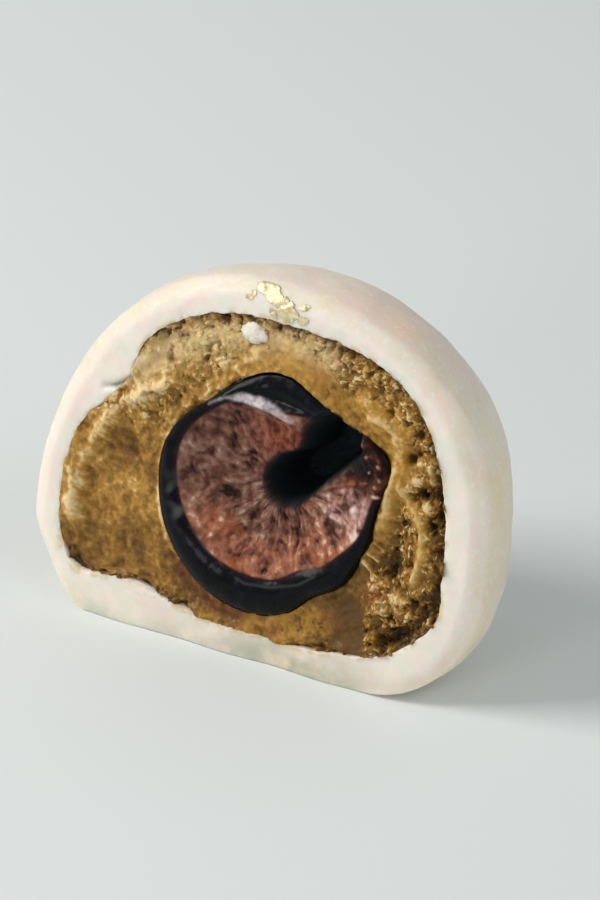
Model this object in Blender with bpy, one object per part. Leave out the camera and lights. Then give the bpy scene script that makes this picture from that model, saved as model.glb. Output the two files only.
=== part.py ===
"""Half of a daifuku, as cut: a soft rice skin round bean paste, with a dark stoned fruit in the middle.

It stands on its flat base with the cut face towards -Y, leaning back a little. Metres, +Z up, +X right.
The form of each layer is a sphere primitive moved point by point to a sagged dome, and a block with an
uneven back, the knife, takes away the front half. On the cut face a place is given by how far it lies to
the right of the middle (across), how far up the face (along), and how deep it lies behind it (depth).
A pair of sizes holds the one for the left side and the one for the right.
"""

import dataclasses
import math

import bmesh
import bpy
from mathutils import Vector, noise

MM = 0.001

# The whole ball, before it is cut. Its middle lies behind the foot of the cut face.
BALL_HALF_WIDTH = (23.2 * MM, 24.4 * MM)
BALL_HALF_DEPTH = 17.0 * MM
BALL_HEIGHT = 35.5 * MM
BALL_WAIST = (7.7 * MM, 14.5 * MM)
BALL_ROUNDNESS = (2.0, 2.23)
BALL_FLOOR = (17.0 * MM, 12.1 * MM)
BALL_CORNER = (1.3, 2.4)
BALL_UNEVEN = 0.22 * MM
MIDDLE_ACROSS = -1.3 * MM
MIDDLE_BACK = 3.1 * MM
LEAN_BACK = 0.121
FACE_LEAN = math.radians(9.0)

# The skin's thickness and the room in it for the paste. Folds thicken its floor, and a tuck its left side.
SKIN_SIDE = (3.0 * MM, 3.6 * MM)
SKIN_BACK = 2.7 * MM
SKIN_TOP = 3.1 * MM
SKIN_FLOOR = 2.4 * MM
PASTE_WAIST = (9.3 * MM, 9.3 * MM)
PASTE_ROUNDNESS = (2.0, 3.15)
PASTE_FLOOR = (16.4 * MM, 12.0 * MM)
PASTE_CORNER = (1.9, 1.4)
FLOOR_FOLDS = ((-14.0 * MM, 1.8 * MM, 6.0 * MM), (10.5 * MM, 0.6 * MM, 3.2 * MM))
TUCK_DEPTH = 2.2 * MM
TUCK_HEIGHT = 23.0 * MM
TUCK_REACH = 3.6 * MM
GAP = 0.3 * MM

# The fruit, on the cut face. A bump is (angle round the fruit, share of the radius, width of the bump).
FRUIT_RADIUS = 11.4 * MM
FRUIT_ACROSS = 0.6 * MM
FRUIT_ALONG = 16.3 * MM
FRUIT_DEPTH = 10.6 * MM
FRUIT_BUMPS = (
    (math.radians(27), 0.19, math.radians(14)),
    (math.radians(62), -0.03, math.radians(14)),
    (math.radians(88), 0.04, math.radians(13)),
    (math.radians(131), -0.11, math.radians(24)),
    (math.radians(240), 0.08, math.radians(40)),
    (math.radians(303), -0.10, math.radians(16)),
    (math.radians(335), -0.05, math.radians(16)),
)
PEEL_SHARE = (0.34, 0.13)
PEEL_WIDE_ANGLE = math.radians(222)
PEEL_PROUD = 0.9 * MM
FLESH_HOLLOW = 1.7 * MM
FLESH_RIPPLE = 0.25 * MM
FLESH_RIPPLES = 23

# The hollow that the stone left: a chamber in the middle with a channel out to the rim at the upper right.
CHAMBER_RADIUS = 3.4 * MM
CHAMBER_ACROSS = 2.2 * MM
CHAMBER_ALONG = 18.3 * MM
CHAMBER_DEPTH = 8.0 * MM
CHAMBER_SQUARENESS = 3.0
CHANNEL_ACROSS = 6.8 * MM
CHANNEL_ALONG = 7.0 * MM
CHANNEL_SCALE = 0.80

# Relief of the cut face.
LIP_ROUND = 1.7 * MM
LIP_DROP = 0.9 * MM
LIP_FADES_BELOW = 5.0 * MM
SKIN_WAVE = 0.25 * MM
PASTE_SINK = 0.35 * MM
PASTE_WAVE = 0.40 * MM
PASTE_CRAG = 0.85 * MM
PASTE_DISH = 0.9 * MM
SMEAR_HEIGHT = 0.7 * MM
SMEAR_ROUTE = ((9.6, 27.2), (13.2, 25.8), (14.3, 22.2), (13.7, 17.6), (12.6, 14.6))
SMEAR_WIDTH = 1.1 * MM

# Two flakes of gold leaf and a scrap of dough. Each is (across, up the face, length, width, turn), and for
# the flake on the crown the second is how far it lies behind the face's foot.
LEAF_ON_CROWN = (-1.4 * MM, 8.1 * MM, 3.8 * MM, 2.2 * MM, 0.5)
LEAF_ON_LIP = (1.0 * MM, 34.0 * MM, 3.0 * MM, 2.6 * MM, -0.4)
DOUGH_ON_PASTE = (-2.0 * MM, 30.7 * MM, 2.4 * MM, 2.0 * MM, 0.3)
FLAKE_PROUD = 0.25 * MM
FLAKE_SUNK = 0.45 * MM
FLAKE_CURL = 0.2 * MM

# How finely each form is divided.
BALL_SEGMENTS = (52, 34)
PASTE_SEGMENTS = (40, 26)
FRUIT_SEGMENTS = (40, 20)
STONE_SEGMENTS = (18, 12)
PASTE_CELL = 1.1 * MM
FRUIT_CELL = 0.95 * MM
KNIFE_SEGMENTS = (64, 24)
KNIFE_INSETS = (16.0, 13.0, 10.0, 8.0, 6.5, 5.0, 3.6, 2.4, 1.6, 0.9, 0.3, -0.5, -6.0)
KNIFE_HALF_WIDTH = 31.0 * MM
KNIFE_LOW = -8.0 * MM
KNIFE_HIGH = 44.0 * MM
KNIFE_THICKNESS = 34.0 * MM
KNIFE_MIDDLE = (-1.0 * MM, 16.0 * MM)

# The origin stands under the middle of the object's box.
BOX_MIDDLE = Vector((-0.79 * MM, 10.80 * MM, 0.0))

ACROSS = Vector((1.0, 0.0, 0.0))
UP_FACE = Vector((0.0, math.sin(FACE_LEAN), math.cos(FACE_LEAN)))
OUT_OF_FACE = Vector((0.0, -math.cos(FACE_LEAN), math.sin(FACE_LEAN)))


def on_face(across, along, depth=0.0):
    """A place in space from its place on the cut face."""
    return across * ACROSS + along * UP_FACE - depth * OUT_OF_FACE


def between(low, high, share):
    return low + (high - low) * share


def smooth_step(value):
    """0 below 0, 1 above 1, and an even rise between."""
    value = min(1.0, max(0.0, value))
    return value * value * (3.0 - 2.0 * value)


def bell(value, width):
    """A bump of height 1 at 0 that is gone two widths away."""
    return math.exp(-((value / width) ** 2))


def turn_between(angle, other):
    """The turn from one angle to another, from -pi to pi."""
    return (angle - other + math.pi) % (2.0 * math.pi) - math.pi


def complement(share, power):
    """The other leg of a superellipse's quarter, from 1 at 0 to 0 at 1."""
    return max(0.0, 1.0 - min(1.0, share) ** power) ** (1.0 / power)


@dataclasses.dataclass
class Dome:
    """A sagged ball: a superellipse above its waist, and a corner that curls in below it to a flat floor."""

    half_width: tuple
    half_depth: float
    top: float
    waist: tuple
    roundness: tuple
    floor: float
    floor_radius: tuple
    corner: tuple
    tuck: float = 0.0
    folds: tuple = ()

    def centre(self, height):
        """The dome's middle at a height, because it leans back."""
        return Vector((MIDDLE_ACROSS, MIDDLE_BACK + LEAN_BACK * height, height))

    def radius(self, height, right):
        """How far the side lies from the middle at a height, where right is -1 on the left and 1 on the right."""
        side = 0.5 + 0.5 * right
        widest = between(*self.half_width, side)
        waist = between(*self.waist, side)
        if height < waist:
            foot = between(*self.floor_radius, side)
            drop = (waist - height) / (waist - self.floor)
            return foot + (widest - foot) * complement(drop, between(*self.corner, side))
        rise = (height - waist) / (self.top - waist)
        tucked = self.tuck * bell(height - TUCK_HEIGHT, TUCK_REACH) * smooth_step(-2.0 * right - 0.6)
        return widest * complement(rise, between(*self.roundness, side)) - tucked

    def place(self, height, side, radius):
        """The place at a height and a radius towards a side."""
        spot = self.centre(height)
        squash = 2.0 * self.half_depth / sum(self.half_width)
        spot.x += radius * side.x
        spot.y += radius * side.y * squash
        return spot

    def point(self, direction):
        """The point of the surface that a unit sphere's point goes to."""
        flat = Vector((direction.x, direction.y))
        side = flat.normalized() if flat.length > 1e-6 else Vector((1.0, 0.0))
        lift = math.asin(max(-1.0, min(1.0, direction.z))) / (math.pi / 2.0)
        waist = between(*self.waist, 0.5 + 0.5 * side.x)
        floor_begins = -0.6
        if lift < floor_begins:
            foot = between(*self.floor_radius, 0.5 + 0.5 * side.x)
            spot = self.place(self.floor, side, foot * (1.0 + lift) / (1.0 + floor_begins))
        else:
            share = lift if lift > 0.0 else lift / floor_begins
            end = self.top if lift > 0.0 else self.floor
            eased = math.sin(share * math.pi / 2.0) ** 0.9
            height = between(waist, end, eased)
            spot = self.place(height, side, self.radius(height, side.x))
        return spot + self.uneven(spot)

    def uneven(self, spot):
        """What hand-shaping adds: a slight unevenness off the floor, and folds in the floor of the skin."""
        near_floor = 1.0 - smooth_step((spot.z - self.floor) / (4.0 * MM))
        rise = sum(height * bell(spot.x - at, width) for at, height, width in self.folds)
        outward = (spot - self.centre(0.5 * self.top)).normalized()
        bump = BALL_UNEVEN * noise.noise(spot * 95.0) * (1.0 - near_floor)
        return bump * outward + Vector((0.0, 0.0, rise * near_floor))

    def covers(self, spot):
        """Whether a place lies within the dome."""
        if not self.floor <= spot.z <= self.top:
            return False
        away = spot - self.centre(spot.z)
        squash = 2.0 * self.half_depth / sum(self.half_width)
        flat = Vector((away.x, away.y / squash))
        return flat.length < self.radius(spot.z, flat.x / max(flat.length, 1e-9))


def paste_dome(gap):
    """The dome inside the skin, kept this far from it."""
    return Dome(
        half_width=tuple(half - side - gap for half, side in zip(BALL_HALF_WIDTH, SKIN_SIDE)),
        half_depth=BALL_HALF_DEPTH - SKIN_BACK - gap,
        top=BALL_HEIGHT - SKIN_TOP - gap,
        waist=PASTE_WAIST,
        roundness=PASTE_ROUNDNESS,
        floor=SKIN_FLOOR + gap,
        floor_radius=tuple(foot - gap for foot in PASTE_FLOOR),
        corner=PASTE_CORNER,
        tuck=TUCK_DEPTH,
        folds=FLOOR_FOLDS,
    )


BALL = Dome(
    half_width=BALL_HALF_WIDTH,
    half_depth=BALL_HALF_DEPTH,
    top=BALL_HEIGHT,
    waist=BALL_WAIST,
    roundness=BALL_ROUNDNESS,
    floor=0.0,
    floor_radius=BALL_FLOOR,
    corner=BALL_CORNER,
)


def rim_radius(angle):
    """How far the ball's edge lies from the knife's middle on the cut face, found by halving."""
    near, far = 0.0, KNIFE_HALF_WIDTH
    for _ in range(30):
        middle = 0.5 * (near + far)
        across = KNIFE_MIDDLE[0] + middle * math.cos(angle)
        along = KNIFE_MIDDLE[1] + middle * math.sin(angle)
        if BALL.covers(on_face(across, along)):
            near = middle
        else:
            far = middle
    return near


def top_of_ball(across, back):
    """The place on the ball's crown above a point of the ground."""
    height = BALL_HEIGHT
    for _ in range(6):
        away = Vector((across, back, height)) - BALL.centre(height)
        flat = math.hypot(away.x, away.y * BALL_HALF_WIDTH[1] / BALL_HALF_DEPTH)
        share = 0.5 + 0.5 * away.x / max(flat, 1e-9)
        waist = between(*BALL_WAIST, share)
        rise = complement(flat / between(*BALL_HALF_WIDTH, share), between(*BALL_ROUNDNESS, share))
        height = between(waist, BALL_HEIGHT, rise)
    spot = Vector((across, back, height))
    return spot + BALL.uneven(spot)


def fruit_radius(angle):
    """The fruit's outline on the cut face, round its middle."""
    bumps = sum(height * bell(turn_between(angle, at), width) for at, height, width in FRUIT_BUMPS)
    return FRUIT_RADIUS * (1.0 + bumps)


def peel_share(angle):
    """How much of the fruit's radius is dark peel: wide at the lower left, narrow at the upper right."""
    away_from_wide = 0.5 - 0.5 * math.cos(angle - PEEL_WIDE_ANGLE)
    return between(*PEEL_SHARE, smooth_step(away_from_wide))


def smear_height(across, along):
    """A thin ridge of paste that the knife drew out beside the fruit."""
    spot = Vector((across, along)) / MM
    nearest = min(
        (spot - Vector(start).lerp(Vector(end), step / 6.0)).length
        for start, end in zip(SMEAR_ROUTE, SMEAR_ROUTE[1:])
        for step in range(7)
    )
    return SMEAR_HEIGHT * bell(nearest * MM, SMEAR_WIDTH)


def paste_relief(across, along):
    """Depth of the paste: a smooth dished smear on the left, coarse crags along the top and the right."""
    right_side = smooth_step((across + 1.0 * MM) / (9.0 * MM))
    upper_side = smooth_step((along - 23.0 * MM) / (6.0 * MM))
    coarse = max(right_side, 0.7 * upper_side)
    wave = PASTE_WAVE * noise.noise(Vector((across, along, 4.0 * MM)) * 160.0)
    crag = PASTE_CRAG * coarse * noise.noise(Vector((across, along, 9.0 * MM)) * 520.0)
    dish = PASTE_DISH * bell(across + 15.0 * MM, 4.5 * MM) * bell(along - 12.5 * MM, 6.5 * MM)
    return PASTE_SINK + wave + crag + dish - smear_height(across, along)


def fruit_relief(across, along):
    """Depth of the fruit: a proud rounded rim of peel round sunken flesh with fine radial fibres."""
    right, up = across - FRUIT_ACROSS, along - FRUIT_ALONG
    angle = math.atan2(up, right)
    share = math.hypot(right, up) / fruit_radius(angle)
    flesh_edge = 1.0 - peel_share(angle)
    if share >= flesh_edge:
        around = (share - flesh_edge) / (1.0 - flesh_edge)
        return -PEEL_PROUD * math.sin(math.pi * min(1.0, 0.15 + 0.8 * around))
    sunk = 1.0 - (share / flesh_edge) ** 2
    edge = -PEEL_PROUD * math.sin(math.pi * 0.15)
    ripple = FLESH_RIPPLE * math.sin(FLESH_RIPPLES * angle + 9.0 * share) * share * smooth_step(4.0 * sunk)
    return edge + FLESH_HOLLOW * sunk + ripple


def place_object(name, form, collection):
    """An object from a bmesh, moved so that the origin stands under the middle of the whole."""
    mesh = bpy.data.meshes.new(name)
    bmesh.ops.recalc_face_normals(form, faces=form.faces)
    form.to_mesh(mesh)
    form.free()
    mesh.shade_smooth()
    mesh.set_sharp_from_angle(angle=math.radians(50))
    placed = bpy.data.objects.new(name, mesh)
    placed.location = -BOX_MIDDLE
    collection.objects.link(placed)
    return placed


def shape(name, collection, segments, place_of):
    """A sphere primitive whose points are moved to a form."""
    form = bmesh.new()
    bmesh.ops.create_uvsphere(form, u_segments=segments[0], v_segments=segments[1], radius=1.0)
    for point in form.verts:
        point.co = place_of(point.co.normalized())
    return place_object(name, form, collection)


def extruded_grid(columns, rows, place_of, push):
    """A grid primitive moved to a surface, with a second copy of it pushed away to close it."""
    block = bmesh.new()
    bmesh.ops.create_grid(block, x_segments=columns, y_segments=rows, size=1.0)
    for point in block.verts:
        point.co = place_of(point.co.x, point.co.y)
    other = bmesh.ops.extrude_face_region(block, geom=list(block.faces))
    moved = [item for item in other["geom"] if isinstance(item, bmesh.types.BMVert)]
    bmesh.ops.translate(block, verts=moved, vec=push)
    return block


def hide_cutter(cutter):
    cutter.hide_render = True
    cutter.display_type = "WIRE"
    return cutter


def knife(name, collection, cell, relief):
    """A block in front of the cut face whose back has the face's relief."""

    def place_of(x, y):
        across = x * KNIFE_HALF_WIDTH
        along = between(KNIFE_LOW, KNIFE_HIGH, 0.5 + 0.5 * y)
        return on_face(across, along, relief(across, along))

    columns = round(2.0 * KNIFE_HALF_WIDTH / cell)
    rows = round((KNIFE_HIGH - KNIFE_LOW) / cell)
    block = extruded_grid(columns, rows, place_of, KNIFE_THICKNESS * OUT_OF_FACE)
    return hide_cutter(place_object(name, block, collection))


def skin_relief(across, along, inset):
    """Depth of the skin's cut edge at a distance in from the rim, over which it rolls except at the foot."""
    lip = LIP_DROP * max(0.0, 1.0 - max(0.0, inset) / LIP_ROUND) ** 2
    wave = SKIN_WAVE * noise.noise(Vector((across, along, 0.0)) * 190.0)
    return lip * smooth_step(along / LIP_FADES_BELOW) + wave


def skin_knife_place(direction):
    """The knife for the skin: its back follows the rim in rings and rolls over it, and its front is flat."""
    angle = math.atan2(direction.z, direction.x)
    rim = rim_radius(angle)
    from_pole = math.acos(min(1.0, abs(direction.y))) / (math.pi / 2.0)
    ring = round(from_pole * (len(KNIFE_INSETS) - 1))
    inset = KNIFE_INSETS[ring] * MM
    radius = max(0.0, rim - inset) if ring else 0.0
    across = KNIFE_MIDDLE[0] + radius * math.cos(angle)
    along = KNIFE_MIDDLE[1] + radius * math.sin(angle)
    if direction.y < -1e-6:
        return on_face(across, along, -KNIFE_THICKNESS)
    return on_face(across, along, skin_relief(across, along, inset))


def fruit_place(direction, gap=0.0):
    """The fruit's surface: its outline on the cut face, carried back round a half ball."""
    flat = math.hypot(direction.x, direction.z)
    angle = math.atan2(direction.z, direction.x)
    radius = (fruit_radius(angle) + gap) * flat
    across = FRUIT_ACROSS + radius * math.cos(angle)
    along = FRUIT_ALONG + radius * math.sin(angle)
    return on_face(across, along, (FRUIT_DEPTH + gap) * direction.y)


def stone_place(direction):
    """The stone's hollow: a squarish ball whose upper right side is drawn out to the fruit's rim."""
    power = 2.0 / CHAMBER_SQUARENESS
    radius = CHAMBER_RADIUS * math.hypot(direction.x, direction.z) ** power
    depth = math.copysign(CHAMBER_DEPTH * abs(direction.y) ** power, direction.y)
    angle = math.atan2(direction.z, direction.x)
    across, along = radius * math.cos(angle), radius * math.sin(angle)
    if across * CHANNEL_ACROSS + along * CHANNEL_ALONG > 0.0:
        across = across * CHANNEL_SCALE + CHANNEL_ACROSS
        along = along * CHANNEL_SCALE + CHANNEL_ALONG
        depth *= CHANNEL_SCALE
    return on_face(CHAMBER_ACROSS + across, CHAMBER_ALONG + along, depth)


def flake(name, collection, where, surface, outward):
    """A flake: a ragged curled plate that follows a surface and is half sunk into it."""
    first, second, length, width, turn = where

    def place_of(x, y):
        ragged = 0.5 + 0.15 * noise.noise(Vector((3.0 * x, 3.0 * y, 900.0 * first)))
        run, side = length * x * ragged, width * y * ragged
        right = run * math.cos(turn) - side * math.sin(turn)
        ahead = run * math.sin(turn) + side * math.cos(turn)
        proud = FLAKE_PROUD + FLAKE_CURL * math.sin(2.5 * x + 1.5 * y)
        return surface(first + right, second + ahead) + proud * outward

    plate = extruded_grid(4, 3, place_of, -(FLAKE_PROUD + FLAKE_CURL + FLAKE_SUNK) * outward)
    return place_object(name, plate, collection)


def lip_surface(across, along):
    right, up = across - KNIFE_MIDDLE[0], along - KNIFE_MIDDLE[1]
    inset = rim_radius(math.atan2(up, right)) - math.hypot(right, up)
    return on_face(across, along, skin_relief(across, along, inset))


def paste_surface(across, along):
    return on_face(across, along, paste_relief(across, along))


def take_away(piece, cutter):
    cut = piece.modifiers.new(cutter.name, "BOOLEAN")
    cut.operation = "DIFFERENCE"
    cut.object = cutter


def fuse(piece, extras):
    """Joins a collection of small shapes to a piece, applies the result and removes the small shapes."""
    join = piece.modifiers.new(extras.name, "BOOLEAN")
    join.operation = "UNION"
    join.operand_type = "COLLECTION"
    join.collection = extras
    bpy.context.view_layer.update()
    graph = bpy.context.evaluated_depsgraph_get()
    joined = bpy.data.meshes.new_from_object(piece.evaluated_get(graph))
    piece.modifiers.clear()
    piece.data = joined
    for extra in list(extras.objects):
        bpy.data.objects.remove(extra)
    bpy.data.collections.remove(extras)


def give_finish(piece, name, colour, roughness):
    """A plain finish in the part's own colour."""
    material = bpy.data.materials.new(name)
    material.use_nodes = True
    shader = material.node_tree.nodes["Principled BSDF"]
    shader.inputs["Base Color"].default_value = (*colour, 1.0)
    shader.inputs["Roughness"].default_value = roughness
    shader.inputs["Metallic"].default_value = 0.0
    piece.data.materials.clear()
    piece.data.materials.append(material)


def new_collection(name, parent):
    made = bpy.data.collections.new(name)
    parent.children.link(made)
    return made


def make_skin(parts, cutters):
    skin = shape("mochi_skin", parts, BALL_SEGMENTS, BALL.point)
    take_away(skin, hide_cutter(shape("paste_room", cutters, PASTE_SEGMENTS, paste_dome(0.0).point)))
    blade = bmesh.new()
    bmesh.ops.create_uvsphere(blade, u_segments=KNIFE_SEGMENTS[0], v_segments=KNIFE_SEGMENTS[1], radius=1.0)
    for point in blade.verts:
        pole_back = Vector((point.co.x, point.co.z, point.co.y))
        point.co = skin_knife_place(pole_back)
    take_away(skin, hide_cutter(place_object("skin_knife", blade, cutters)))
    leaves = new_collection("gold_leaf", parts)
    flake("leaf_on_crown", leaves, LEAF_ON_CROWN, top_of_ball, Vector((0.0, 0.0, 1.0)))
    flake("leaf_on_lip", leaves, LEAF_ON_LIP, lip_surface, OUT_OF_FACE)
    fuse(skin, leaves)
    give_finish(skin, "steamed_rice_skin", (0.83, 0.76, 0.66), 0.6)


def make_paste(parts, cutters):
    paste = shape("bean_paste", parts, PASTE_SEGMENTS, paste_dome(GAP).point)
    room = shape("fruit_room", cutters, FRUIT_SEGMENTS, lambda direction: fruit_place(direction, GAP))
    take_away(paste, hide_cutter(room))
    take_away(paste, knife("paste_knife", cutters, PASTE_CELL, paste_relief))
    scraps = new_collection("scraps_of_dough", parts)
    flake("dough_on_paste", scraps, DOUGH_ON_PASTE, paste_surface, OUT_OF_FACE)
    fuse(paste, scraps)
    give_finish(paste, "roasted_bean_paste", (0.33, 0.17, 0.05), 0.65)


def make_fruit(parts, cutters):
    fruit = shape("stoned_fruit", parts, FRUIT_SEGMENTS, fruit_place)
    take_away(fruit, hide_cutter(shape("stone_room", cutters, STONE_SEGMENTS, stone_place)))
    take_away(fruit, knife("fruit_knife", cutters, FRUIT_CELL, fruit_relief))
    give_finish(fruit, "dark_stewed_fruit", (0.05, 0.02, 0.025), 0.3)


def main():
    for old in list(bpy.data.objects):
        bpy.data.objects.remove(old)
    scene_root = bpy.context.scene.collection
    parts = new_collection("daifuku", scene_root)
    cutters = new_collection("daifuku_cutters", scene_root)
    make_skin(parts, cutters)
    make_paste(parts, cutters)
    make_fruit(parts, cutters)


main()
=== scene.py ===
"""Looks of a daifuku half, as cut: rice skin, bean paste, a stoned fruit and flakes of gold leaf.

The forms are worked out in millimetres in the part's own design frame, in which the foot of the cut face is
the X axis. They are then moved, so that the origin lies under the middle of the object's box, and scaled to
metres. A place on the cut face is a pair: how far it lies to the right (across) and how far up the face
(along). Its depth is how far it lies behind the face.
"""

import dataclasses
import math

import bmesh
import bpy
import numpy as np
from bpy.props import FloatProperty, FloatVectorProperty, IntProperty, PointerProperty
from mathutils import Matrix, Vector, noise


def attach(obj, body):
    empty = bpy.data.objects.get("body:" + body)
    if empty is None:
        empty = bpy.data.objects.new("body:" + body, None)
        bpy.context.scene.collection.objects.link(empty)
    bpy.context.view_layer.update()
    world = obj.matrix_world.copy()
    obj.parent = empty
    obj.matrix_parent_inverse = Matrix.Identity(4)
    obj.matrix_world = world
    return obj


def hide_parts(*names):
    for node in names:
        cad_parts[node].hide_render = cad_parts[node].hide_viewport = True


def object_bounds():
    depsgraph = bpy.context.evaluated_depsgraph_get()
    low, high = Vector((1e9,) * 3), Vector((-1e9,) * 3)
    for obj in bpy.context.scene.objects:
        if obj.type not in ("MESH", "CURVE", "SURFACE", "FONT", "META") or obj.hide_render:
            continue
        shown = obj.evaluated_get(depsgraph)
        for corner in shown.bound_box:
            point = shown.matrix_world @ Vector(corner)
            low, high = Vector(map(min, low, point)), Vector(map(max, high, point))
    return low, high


bl_info = {
    "name": "Daifuku half",
    "version": (1, 0, 0),
    "blender": (4, 5, 0),
    "location": "View3D > Sidebar > Daifuku",
    "description": "Makes a cut daifuku with its bean paste, stoned fruit and gold leaf",
    "category": "Add Mesh",
}

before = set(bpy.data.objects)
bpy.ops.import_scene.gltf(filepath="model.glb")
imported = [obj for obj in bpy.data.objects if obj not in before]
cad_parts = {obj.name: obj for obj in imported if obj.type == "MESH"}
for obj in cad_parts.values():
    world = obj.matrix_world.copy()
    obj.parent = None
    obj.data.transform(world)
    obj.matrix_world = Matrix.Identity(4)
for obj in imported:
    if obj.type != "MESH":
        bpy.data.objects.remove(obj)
CAD_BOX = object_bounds()

MM = 0.001
TINY = 1e-9
FACE_LEAN = math.radians(9.0)
ACROSS = np.array((1.0, 0.0, 0.0))
UP_FACE = np.array((0.0, math.sin(FACE_LEAN), math.cos(FACE_LEAN)))
OUT_OF_FACE = np.array((0.0, -math.cos(FACE_LEAN), math.sin(FACE_LEAN)))
BOX_MIDDLE = np.array((-0.79, 10.80, 0.0))
FACE_MIDDLE = np.array((-1.0, 16.0))

# The ball and the room in it, leaning back. A fold of the floor is (across, height, width).
MIDDLE_ACROSS = -1.3
MIDDLE_BACK = 3.1
LEAN_BACK = 0.121
UNEVEN = 0.22
DENTS = 0.18
FLOOR_FOLDS = ((-14.0, 1.8, 6.0), (10.5, 0.6, 3.2))
TUCK_DEPTH = 2.2
TUCK_HEIGHT = 23.0
TUCK_REACH = 3.6
SKIN_WAVE = 0.25
LIP_FADES_BELOW = 5.0
FOOT_HEIGHT = 4.0
LONGEST_RAY = 45.0
HALVINGS = 26
FOLD_STEPS = 12

# The fruit, with angles in degrees. A bump is (angle round the fruit, share of the radius, its width).
FRUIT_MIDDLE = np.array((0.6, 16.3))
FRUIT_RADIUS = 11.4
FRUIT_DEPTH = 10.6
POCKET_GAP = 0.3
FRUIT_BUMPS = (
    (27, 0.19, 14),
    (62, -0.03, 14),
    (88, 0.04, 13),
    (131, -0.11, 24),
    (240, 0.08, 40),
    (303, -0.10, 16),
    (335, -0.05, 16),
)
PEEL_SHARE = (0.32, 0.04)
PEEL_WIDE_ANGLE = 262
CROWN_LOBE = (88, 26)
HOLLOW_START = np.array((1.8, 17.4))
HOLLOW_END = np.array((7.2, 23.2))
HOLLOW_RADII = (2.5, 2.9)

# Points round each piece, and rings: over its face, on its lip, or at tilts in degrees behind the face.
SKIN_POINTS = 420
BAND_RINGS = 15
LIP_RINGS = 12
ROOM_TILTS = np.linspace(86.0, 4.0, 15)
BALL_TILTS = np.concatenate([np.linspace(3.4, 12.0, 9), np.linspace(13.2, 87.5, 62)])
PASTE_POINTS = 780
PASTE_RINGS = 84
PASTE_TILTS = np.linspace(86.0, 5.0, 14)
POCKET_TILTS = np.linspace(8.0, 84.0, 12)
FRUIT_POINTS = 560
FRUIT_RINGS = 90
FRUIT_TILTS = np.linspace(84.0, 6.0, 13)
LAST_RING_SHARE = 0.012
PASTE_OVER_SKIN = 0.06
PASTE_OVER_FRUIT = 0.12

# Lines on the cut face, through places on it.
RIDGE_RIGHT = (
    (9.6, 27.2), (11.5, 26.3), (13.4, 25.5), (14.3, 23.8),
    (13.9, 20.8), (12.9, 18.9), (12.6, 16.4),
)
RIDGE_CREST = (
    (10.5, 26.1), (12.1, 26.2), (13.3, 25.3), (13.7, 23.8),
    (13.4, 21.9), (13.0, 19.9), (12.7, 17.6),
)
RIDGE_BRANCH = ((14.0, 20.4), (15.7, 18.5), (16.6, 17.3), (16.9, 14.2), (16.4, 12.0))
RIDGE_LEFT = (
    (-20.2, 9.0), (-19.6, 13.6), (-18.6, 16.3), (-16.8, 19.2),
    (-15.2, 21.2), (-13.1, 22.3), (-10.9, 23.9),
)
RIDGE_LEFT_LOW = ((-19.3, 14.0), (-19.6, 10.3), (-19.3, 6.6))
FAN_STROKES = (
    ((11.0, 12.5), (11.5, 11.8), (12.1, 11.2)),
    ((11.4, 13.4), (12.3, 12.7)),
    ((11.9, 14.5), (12.9, 13.8)),
)
DARK_EDGE_LOW = ((18.6, 12.0), (18.2, 10.0), (16.6, 7.6), (15.0, 6.1), (13.6, 5.2))
PALE_CRUST = ((-13.6, 25.0), (-11.0, 27.6), (-4.0, 30.4), (2.6, 31.0), (5.6, 30.6))
DOUGH_SMEAR = ((-15.8, 23.4), (-14.9, 24.6), (-13.8, 25.9))
TUCK_CREASE = ((-17.3, 22.3), (-16.2, 22.6), (-15.0, 23.3), (-14.2, 23.4))
SMEAR_LOW = ((-1.6, 3.2), (3.2, 4.3), (6.4, 4.9), (8.2, 6.2))
JUICE = ((-7.6, 6.6), (-5.3, 5.0), (-2.2, 3.8))
WET_LEDGE = ((-5.7, 23.7), (-4.2, 24.6), (-2.5, 25.0), (-0.7, 24.9), (0.8, 24.6), (2.0, 24.2), (3.0, 24.0))
ARC_OF_LIGHT = ((-1.6, 7.8), (-0.6, 7.5), (2.1, 7.8), (5.0, 8.9), (6.6, 10.1))
TORN_BEADS = ((10.6, 23.1), (11.4, 22.2), (12.1, 21.3))
TORN_FIBRES_PALE = (((10.6, 19.8), (12.1, 20.1)), ((11.0, 18.9), (12.2, 19.1)))
TORN_FIBRE_AMBER = ((7.4, 18.7), (8.8, 19.4), (10.5, 19.7))
PALE_FLESH = ((7.6, 16.4), (9.6, 17.2), (11.2, 17.4), (11.4, 15.6))

# Ridges and grooves of the paste, as (line, how proud, width, how much paler). Paler is partly the smear's
# own tone and partly painted light on the ridges; the dark sunk edge low at the right is painted shade.
PASTE_RIDGES = (
    (RIDGE_RIGHT, 0.70, 1.0, 0.18),
    (RIDGE_CREST, 0.22, 0.42, 0.34),
    (RIDGE_BRANCH, 0.50, 0.40, 0.42),
    (RIDGE_LEFT, 0.60, 0.80, 0.26),
    (RIDGE_LEFT_LOW, 0.30, 0.50, 0.10),
    (FAN_STROKES[0], 0.35, 0.22, 0.50),
    (FAN_STROKES[1], 0.25, 0.16, 0.40),
    (FAN_STROKES[2], 0.25, 0.16, 0.35),
    (DARK_EDGE_LOW, -1.0, 0.60, -0.45),
)
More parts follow.
